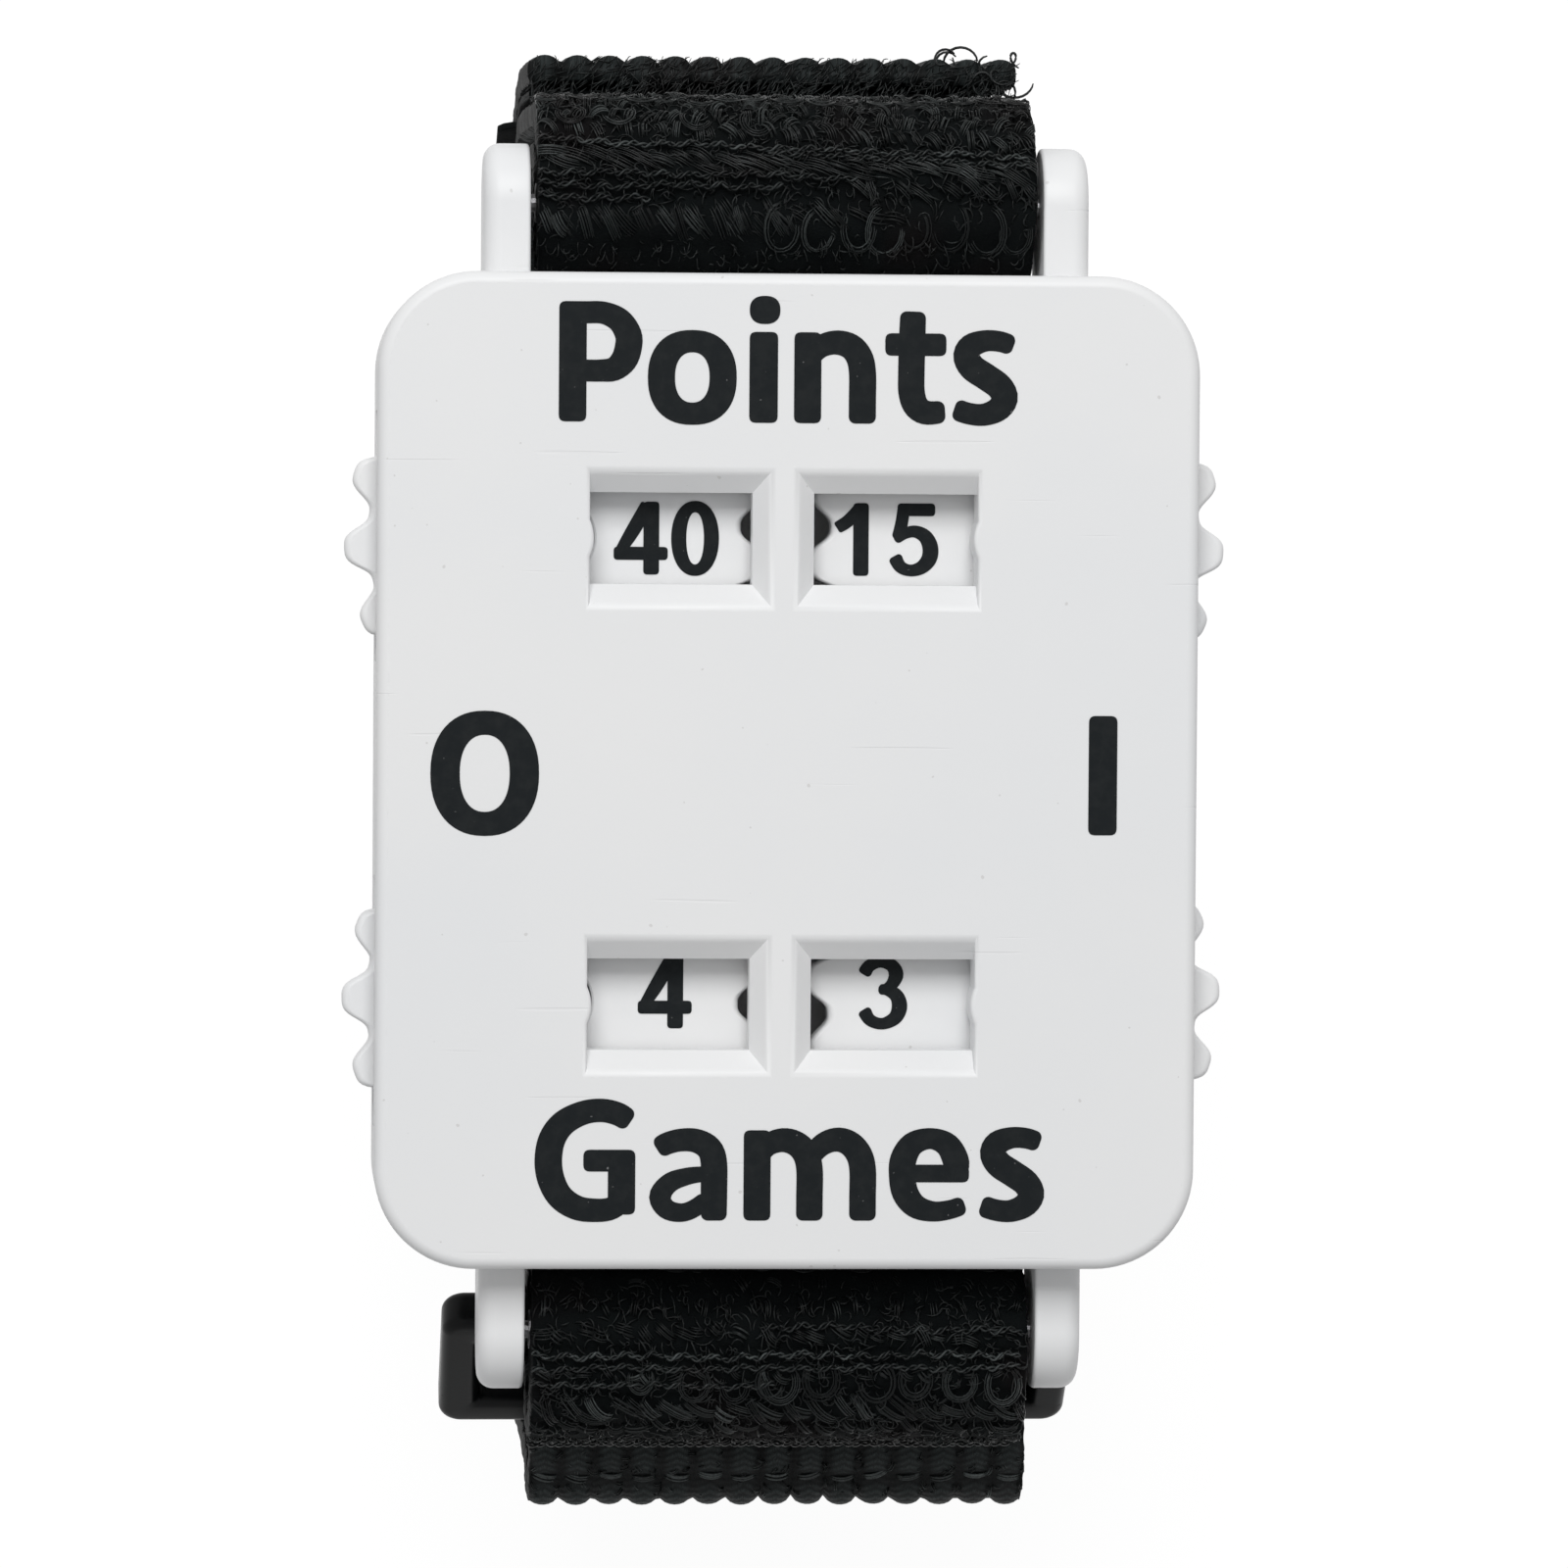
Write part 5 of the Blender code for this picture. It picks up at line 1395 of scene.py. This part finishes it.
def cord(rng, row, slope, span, level, sway=0.00010, twist=0.00090, radius=0.00009, step=0.00012):
    """A cord across the tape, cut into short lengths: two strands wind round its line, which sways."""
    u = np.arange(span[0], span[1], step)
    line = row + slope * u + waver(u, int(rng.integers(1000)), 0.00010, 0.007)
    line += sway * np.arcsin(np.sin(2 * math.pi * u / SWAY_LENGTH)) / (math.pi / 2)
    shapes, tones = [], []
    for strand in (0, math.pi):
        turn = 2 * math.pi * u / twist + strand + waver(u, int(rng.integers(1000)), 0.8, 0.004)
        out = PILE_FOOT + CORD_HEIGHT + radius * np.sin(turn)
        curve = np.stack([line + radius * np.cos(turn), u, out], axis=-1)
        cut = len(curve) // 8
        last = (np.arange(cut) == cut - 1)[:, None]
        shapes.append(curve[np.arange(cut)[:, None] * 8 + np.arange(9)[None, :] - last])
        tones.append(painted_shine_share(rng, cut, level))
    return np.concatenate(shapes), np.concatenate(tones)


def loose_fibres(rng, s_span, count, length, level, lift=0.00035, steps=7):
    """Short curved fibres in every direction, over a whole stretch of the tape."""
    s, u = rng.uniform(*s_span, count), rng.uniform(-USED_WIDTH, USED_WIDTH, count)
    t = np.linspace(-0.5, 0.5, steps)[None, :]
    run = length * rng.uniform(0.5, 1.3, count)[:, None]
    lean = rng.uniform(0, math.pi, count)[:, None] + rng.normal(0, 1.6, count)[:, None] * t
    along, over = s[:, None] + run * t * np.sin(lean), u[:, None] + run * t * np.cos(lean)
    out = PILE_FOOT + 0.00008 + lift * rng.uniform(0.5, 1.2, count)[:, None] * np.cos(t * math.pi) ** 0.5
    curve = np.stack([along, np.clip(over, -USED_WIDTH, USED_WIDTH), out + 0 * along], axis=-1)
    return curve, painted_shine_share(rng, count, level)


def lay_yarns(name, tape, drawn, radius, sides, side=-1.0):
    """Lays flat curves on one side of the tape, gives them tubes, and makes one piece of them."""
    steps = max(shapes.shape[1] for shapes, tones in drawn)
    spots = np.linspace(0, 1, steps)
    paths, tones = [], []
    for shapes, tone in drawn:
        at = spots * (shapes.shape[1] - 1)
        low = np.minimum(at.astype(int), shapes.shape[1] - 2)
        share = (at - low)[None, :, None]
        paths.append(shapes[:, low] * (1 - share) + shapes[:, low + 1] * share)
        tones.append(tone)
    paths, tones = np.concatenate(paths), np.concatenate(tones)
    s, u, h = paths[..., 0], paths[..., 1], side * paths[..., 2]
    thick = radius * (0.55 + 0.45 * np.sqrt(1 - (2 * spots - 1) ** 2))
    points, groups = tubes(tape.place(s, u, h), thick[None, :], tape.outward(s, side), sides)
    piece = make_piece(name, points, groups, YARN, sharp=0)
    # each yarn's tone, its share of painted highlight, goes on its points for the yarn finish
    layer = piece.data.attributes.new("tone", "FLOAT", "POINT")
    layer.data.foreach_set("value", np.repeat(tones, steps * sides).astype(np.float32))
    add_weave_map(piece, np.repeat(u[..., None], sides, axis=-1), np.repeat(s[..., None], sides, axis=-1))
    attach(piece, "case")
    print(name, len(paths), "yarns,", 2 * len(piece.data.polygons), "triangles")
    return piece


# %% Yarns on the top shoulder
rng = np.random.default_rng(41)
FINE, THICK = (0.000045, 3), (0.000070, 4)
ALL = (-USED_WIDTH, USED_WIDTH)
LEFT, MIDDLE, RIGHT = (-USED_WIDTH, 0.0005), (-0.0035, 0.0060), (-0.0010, USED_WIDTH)
TILT = 0.030


def lay_rows(name, tape, start, rows, yarn):
    """Draws rows in turn and lays them as one piece. Each row gives its kind, how far after the start it
    lies, and the rest of what its kind asks for."""
    return lay_yarns(name, tape, [kind(rng, start + row, *rest) for kind, row, *rest in rows], *yarn)


shoulder = BEND_START
lay_yarns("top_pile", strap_tape, [
    loose_fibres(rng, (shoulder - 0.006, shoulder + 0.0125), 2600, 0.0010, 0.22),
    loose_fibres(rng, (shoulder + 0.0090, shoulder + 0.0120), 500, 0.0010, 0.10, 0.0009),
], *FINE)
lay_rows("top_cords", strap_tape, shoulder, [
    (cord, 0.00495, TILT, ALL, 0.55),
    (cord, 0.00525, TILT, RIGHT, 0.30),
    (cord, 0.0062, 0.006, (-USED_WIDTH, 0.0040), 0.35),
    (cord, 0.0067, 0.006, LEFT, 0.30),
    (cord, 0.0072, 0.004, (-USED_WIDTH, -0.006), 0.3),
    (cord, -0.0031, 0.0, ALL, 0.20),
], THICK)
lay_rows("top_loops", strap_tape, shoulder, [
    (strands, 0.0040, TILT, ALL, 0.00085, 0.0011, 1.15, 0.60, 0.25, 4),
    (strands, 0.0031, TILT, ALL, 0.00085, 0.0011, -1.05, 0.60, 0.30, 4),
    (strands, 0.0022, TILT, ALL, 0.00100, 0.0010, 1.2, 0.40, 0.8, 4),
    (round_loops, 0.0034, TILT, LEFT, 0.0031, 0.0015, 0.40),
    (round_loops, 0.0012, 0.0, ALL, 0.0015, 0.0014, 0.30),
    (strands, 0.0002, 0.0, ALL, 0.00080, 0.0012, 1.3, 0.40, 0.6, 4),
    (strands, -0.0010, 0.0, ALL, 0.00090, 0.0012, 1.3, 0.30, 0.6, 4),
    (round_loops, 0.0084, -0.01, RIGHT, 0.00172, 0.0019, 0.85, 3),
    (round_loops, 0.0098, 0.0, LEFT, 0.0021, 0.0016, 0.25),
], FINE)
lay_rows("top_strands", strap_tape, shoulder, [
    (strands, 0.0056, TILT, ALL, 0.00085, 0.0024, 0.32, 0.60, 0.12, 5),
    (strands, 0.0082, 0.0, LEFT, 0.00068, 0.0018, 0.95, 0.60, 0.20, 5),
    (strands, 0.0066, 0.010, (0.003, USED_WIDTH), 0.00110, 0.0016, 0.75, 0.45, 0.25, 4),
    (strands, 0.0079, 0.0, MIDDLE, 0.00095, 0.0016, 0.85, 0.45, 0.3, 4),
    (strands, 0.0099, 0.0, ALL, 0.00090, 0.0013, 0.9, 0.22, 0.5, 4),
    (strands, -0.0021, 0.0, ALL, 0.0010, 0.0016, 0.8, 0.2, 0.4, 4),
], FINE)

# %% Yarns on the ring strap
lay_yarns("ring_strap_pile", ring_tape, [
    loose_fibres(rng, (0.0, ring_tape.length), 3800, 0.0010, 0.22),
], *FINE)
back_rows = np.arange(0.0111, ring_tape.length - 0.001, ROW_PITCH)
lay_rows("ring_strap_cords", ring_tape, 0.0, [
    (cord, 0.00428, -0.004, ALL, 0.75, 0.00014, 0.0008),
    (cord, 0.00485, -0.004, ALL, 0.35),
    (cord, 0.0057, 0.004, LEFT, 0.30),
    (cord, 0.0031, 0.010, RIGHT, 0.25),
    *[(cord, row, 0.0, ALL, 0.20) for row in back_rows],
], THICK)
lay_rows("ring_strap_loops", ring_tape, 0.0, [
    (round_loops, 0.0055, 0.006, RIGHT, 0.0023, 0.0017, 0.80, 4),
    (round_loops, 0.0056, 0.0, (-0.0080, 0.0), 0.0022, 0.0014, 0.60, 3),
    (strands, 0.0052, 0.0, ALL, 0.0011, 0.0010, 0.5, 0.50, 0.5, 3),
    (strands, 0.0034, 0.010, ALL, 0.0010, 0.0012, 0.35, 0.45, 0.25, 4),
    (strands, 0.0023, 0.0, ALL, 0.0016, 0.0009, 1.5, 0.30, 0.3, 3),
    *[(round_loops, row, 0.0, ALL, 0.0016, 0.0015, 0.2) for row in back_rows[::2] + 0.0011],
], FINE)
lay_rows("ring_strap_strands", ring_tape, 0.0, [
    (strands, 0.0072, 0.0, ALL, 0.00085, 0.0020, 0.70, 0.60, 0.22, 5),
    (strands, 0.0083, 0.0, ALL, 0.0012, 0.0014, 0.5, 0.30, 0.4, 4),
    (strands, 0.0012, 0.0, ALL, 0.0014, 0.0012, 0.9, 0.10, 0.5, 4),
    *[(strands, row, 0.0, ALL, 0.001, 0.0018, 0.7, 0.2) for row in back_rows[1::2] + 0.0011],
], FINE)


# %% [markdown]
# ## Cross threads and frayed ends
#
# On the ribbed face a cross thread dips over every rib at each line of lumps, and it carries the
# weave's painted highlight: on the fold its yarn gets the full share. The strap's free end is cut, so a
# few fibres have sprung out of it as small curls.

# %% Dashes over the ribs, and curls at the cut end
def rib_dashes(rng, s_span, level):
    """A short arched thread over each rib at each line of lumps."""
    first = LUMP_START - math.floor((LUMP_START - s_span[0]) / LUMP_LENGTH) * LUMP_LENGTH
    lines = np.arange(first, s_span[1], LUMP_LENGTH)
    row, number = np.meshgrid(lines, np.arange(RIB_COUNT), indexing="ij")
    row, number = row.ravel(), number.ravel()
    row = row - lump_skew(number) * LUMP_LENGTH / math.pi
    t = np.linspace(-1, 1, 9)[None, :]
    over = ((number - RIB_COUNT / 2 + 0.5) * RIB_PITCH)[:, None] + t * RIB_PITCH * 0.36
    along = row[:, None] + rng.normal(0, 0.06, len(row))[:, None] * t * RIB_PITCH
    out = STRAP_THICKNESS / 2 - RIB_DEPTH * 0.34 - 0.00026 * t ** 2
    return bundled(rng, along, over, out + 0 * over, 3, 0.00011, level * rng.uniform(0.3, 1.0, len(row)))


def curls(rng, count, span, size, level, steps=15):
    """Open loops standing out of the cut end, at the span across the tape."""
    t = np.linspace(0, 1, steps)[None, :]
    u = rng.uniform(*span, count)[:, None]
    radius = size * rng.uniform(0.6, 1.2, count)[:, None]
    turn = rng.uniform(0, 2 * math.pi, count)[:, None] + t * rng.uniform(4.0, 6.5, count)[:, None]
    over = u + radius * np.cos(turn) + rng.normal(0, 0.0006, count)[:, None] * t
    out = rng.uniform(-0.0016, 0.0010, count)[:, None] + radius * np.sin(turn)
    along = rng.uniform(-0.0006, 0.0004, count)[:, None] + rng.normal(0, 0.0005, count)[:, None] * t
    return np.stack([along, over, out], axis=-1), painted_shine_share(rng, count, level)


def end_fibres(rng, count, length, level, steps=7):
    """Fibres lying on the cut end's face, from side to side of it."""
    t = np.linspace(-0.5, 0.5, steps)[None, :]
    u = rng.uniform(-USED_WIDTH, USED_WIDTH, count)[:, None]
    h = rng.uniform(-0.0014, 0.0006, count)[:, None]
    lean = rng.normal(0.9, 0.5, count)[:, None]
    run = length * rng.uniform(0.5, 1.2, count)[:, None]
    out = np.clip(h + run * t * np.sin(lean), -0.00135, 0.00080)
    along = -0.00012 * np.cos(t * math.pi) + rng.uniform(0, 0.0001, count)[:, None]
    return np.stack([along, u + run * t * np.cos(lean), out], axis=-1), painted_shine_share(rng, count, level)


# painted highlight: the dashes on the fold get the full share, those before it about a third
lay_yarns("cross_threads", strap_tape, [
    rib_dashes(rng, (0.0004, FOLD_START - 0.004), 0.35),
    rib_dashes(rng, (FOLD_START - 0.004, FOLD_START + 0.0070), 1.0),
], *THICK, 1.0)
# Painted glints: short yarns sunk into the fold's lumps, with the full share of painted highlight
GLINT_SINK = (0, 0, 0.00025)
glints = []
for step, angle in ((0.0005, 0.75), (0.0009, -0.75), (0.0013, 0.75), (-0.0005, -0.75), (-0.0009, 0.75)):
    curves, tones = strands(rng, LUMP_START + step, 0.0, ALL, 0.00085, 0.0006, angle, 1.0, 0.4, 2)
    glints.append((curves - GLINT_SINK, tones))
lay_yarns("fold_glints", strap_tape, glints, 0.000040, 3, 1.0)
lay_yarns("frayed_end", strap_tape, [end_fibres(rng, 900, 0.0010, 0.30)], 0.000030, 4, 1.0)
lay_yarns("frayed_curls", strap_tape, [curls(rng, 16, (0.0088, 0.0122), 0.00062, 0.10)], 0.000072, 4, 1.0)


# %% [markdown]
# ## Hook tape
#
# The hook side of the fastener lies between the two layers, as a stiff thin tape. It stops a little below
# the outer layer's end, and only its lower part stands out past the strap's left edge.

# %% The hook patch
def hook_path():
    """Midway between the two layers, on the side away from the ring, between two heights."""
    loop = inner_loop()
    middle = outward_step(loop, layer_steps(loop) / 2)
    top = HOOK_END_HEIGHT - HOOK_SHORTER
    return middle[(middle[:, 0] > 0) & (middle[:, 1] > HOOK_START_HEIGHT) & (middle[:, 1] < top)]


hook_tape = Tape(hook_path())
hook_s = even_steps(0, hook_tape.length, 0.0003)
half_width = STRAP_WIDTH / 2
section = rounded_rectangle(STRAP_WIDTH, HOOK_THICKNESS, BREAK, 2)

# The section is stretched to reach from its left edge, which steps in with height, to its right edge
hook_rise = hook_tape.place(hook_s, 0.0, 0.0)[:, 2]
step_in = ease((hook_rise - HOOK_CORNER_TOP) / HOOK_CORNER_FADE)[:, None]
left_step = HOOK_CORNER + (HOOK_TRIM - HOOK_CORNER) * step_in
hook_share = (section[None, :, 0] + half_width) / STRAP_WIDTH
hook_across = -half_width - left_step + hook_share * (STRAP_WIDTH + left_step - HOOK_SIDESTEP)
hook_points = hook_tape.place(hook_s[:, None], hook_across, section[None, :, 1])
patch = make_piece("hook_tape_patch", *skin(hook_points), TAPE)
recalculate(patch.data)
add_weave_map(patch, np.broadcast_to(section[None, :, 0], hook_points.shape[:2]),
              np.broadcast_to(hook_s[:, None], hook_points.shape[:2]))
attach(patch, "case")
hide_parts("hook_patch")
print(patch.name, 2 * len(patch.data.polygons), "triangles")


# %% [markdown]
# ## Strap ring
#
# The ring is a rounded rectangle moulded in black. Its section is carried round the rectangle as rings:
# each point of the section moves the outline in by its own inset.

# %% The ring
def make_ring():
    """A section with rounded corners, swept round the outline, then tilted about the ring strap's bar."""
    length = RING_REACH + RING_BAR
    half, r = RING_THICKNESS / 2, RING_ROUND
    turn = np.linspace(0, math.pi / 2, 7)
    quarter = np.stack([r * np.cos(turn), r * np.sin(turn)], axis=1)
    centres = [(RING_BAR - r, half - r), (r, half - r), (r, r - half), (RING_BAR - r, r - half)]
    signs = [(1, 1), (-1, 1), (-1, -1), (1, -1)]
    section = []
    for (cx, cz), (sx, sz), back in zip(centres, signs, (False, True, False, True)):
        points = quarter * (sx, sz) + (cx, cz)
        section.append(points[::-1] if back else points)
    rings = []
    for inset, z in np.concatenate(section):
        radius = max(RING_CORNER - inset, RING_EDGE)
        outline = rounded_rectangle(RING_WIDTH - 2 * inset, length - 2 * inset, radius, 14)
        rings.append(at_height(outline, z, (-RING_SIDESTEP, -RING_REACH / 2)))
    points, groups = skin(rings, closed=True)
    y, z = points[:, 1].copy(), points[:, 2].copy()
    points[:, 1] = y * math.cos(RING_TILT) - z * math.sin(RING_TILT) + RING_PIVOT[0]
    points[:, 2] = y * math.sin(RING_TILT) + z * math.cos(RING_TILT) + RING_PIVOT[1]
    ring = make_piece("strap_ring_moulding", points, groups, RING_BLACK, sharp=0)
    recalculate(ring.data)
    return ring


ring = make_ring()
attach(ring, "strap_ring")
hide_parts("strap_ring")
print("ring:", len(ring.data.polygons), "faces")


# %% [markdown]
# ## Steel parts
#
# The click springs, screws and spring bars keep their CAD shapes: they are small and mostly hidden. Each
# gets a steel finish in place of its plain colour.

# %% Steel on the CAD nodes
for node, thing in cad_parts.items():
    if node.endswith("click_spring") or node.endswith("tube"):
        steel = SPRING_STEEL
    elif node.endswith(("screw", "tip", "coil")):
        steel = PLATED
    else:
        continue
    for place in thing.material_slots:
        place.material = steel
    print(node, "->", steel.name)


# %% [markdown]
# ## Camera, light and floor
#
# The photograph is a close view straight onto the front, from slightly left of and above the middle of
# the case, with a long lens. A broad lamp beyond the strap's upper end lights the lower bevels of the
# windows and leaves the upper ones in shade; the rest is even light from all round. The camera sees the
# floor as white, and the floor still takes a faint shadow.

# %% Camera
TARGET = Vector((-0.00022, -0.00056, COVER_TOP))
LEAN_X, LEAN_Y, ROLL = math.radians(-4.0), math.radians(2.1), math.radians(0.4)
DISTANCE = 0.40
FIELD = 0.0786

toward = Vector((math.tan(LEAN_X), math.tan(LEAN_Y), 1)).normalized()
right = Vector((0, 1, 0)).cross(toward).normalized()
up = toward.cross(right)
turned_right = right * math.cos(ROLL) + up * math.sin(ROLL)
turned_up = toward.cross(turned_right)
lens = bpy.data.cameras.new("camera")
lens.sensor_fit, lens.sensor_width = "HORIZONTAL", 36.0
lens.lens = 36.0 * DISTANCE / FIELD
lens.clip_start, lens.clip_end = 0.01, 20.0
camera = bpy.data.objects.new("camera", lens)
spot = TARGET + toward * DISTANCE
axes = Matrix((turned_right, turned_up, toward)).transposed()
camera.matrix_world = Matrix.Translation(spot) @ axes.to_4x4()
bpy.context.scene.collection.objects.link(camera)
bpy.context.scene.camera = camera
print(f"camera {tuple(round(c, 4) for c in spot)}, lens {lens.lens:.1f} mm")

# %% Lamp and world
KEY_POWER, KEY_SIZE, KEY_DISTANCE = 3.4, 0.35, 0.7
KEY_SLANT, KEY_ASIDE = math.radians(35), -0.08
WORLD_LEVEL = 0.41
key_data = bpy.data.lights.new("key", "AREA")
key_data.energy, key_data.size = KEY_POWER, KEY_SIZE
key = bpy.data.objects.new("key", key_data)
key_direction = Vector((KEY_ASIDE, math.sin(KEY_SLANT), math.cos(KEY_SLANT))).normalized()
key.location = Vector((0, 0, COVER_TOP)) + key_direction * KEY_DISTANCE
key.rotation_euler = key_direction.to_track_quat("Z", "Y").to_euler()
bpy.context.scene.collection.objects.link(key)


def seen_share(nodes):
    """1 for rays from the camera, in a mirror or through glass, and 0 for rays that gather light."""
    path = nodes.tree.nodes.new("ShaderNodeLightPath")
    rays = [Wire(nodes, path.outputs[f"Is {kind} Ray"]) for kind in ("Camera", "Glossy", "Transmission")]
    return rays[0].larger(rays[1]).larger(rays[2])


world = bpy.data.worlds.new("studio")
world.use_nodes = True
bpy.context.scene.world = world
sky = Nodes(world.node_tree)
background = sky.tree.nodes["Background"]
sockets = {"Value": seen_share(sky), "To Min": WORLD_LEVEL, "To Max": 1.0}
level = sky.add("ShaderNodeMapRange", {}, sockets)
sky.put(background.inputs["Color"], (1, 1, 1))
sky.put(background.inputs["Strength"], level)
print("light ready")

# %% Floor
FLOOR_GLOW, GLOW_SHARE = 1.17, 0.80
floor_finish = Finish("pale_floor", Base_Color=(0.55, 0.55, 0.55), Roughness=0.9, Specular_IOR_Level=0.0)
glow = floor_finish.add("ShaderNodeEmission", {}, {"Strength": FLOOR_GLOW})
diffuse = Wire(floor_finish, floor_finish.shader.outputs[0])
share = seen_share(floor_finish) * GLOW_SHARE
blend = floor_finish.add("ShaderNodeMixShader", {}, {0: share, 1: diffuse, 2: glow})
floor_finish.put(floor_finish.tree.nodes["Material Output"].inputs["Surface"], blend)

FLOOR_HALF = 4.0
floor_points = np.array([(-1, -1, 0), (1, -1, 0), (1, 1, 0), (-1, 1, 0)]) * FLOOR_HALF
floor = make_piece("floor", floor_points, [np.array([[0, 1, 2, 3]])], floor_finish.material)
bpy.context.scene.view_settings.view_transform = "Standard"
print("floor ready")
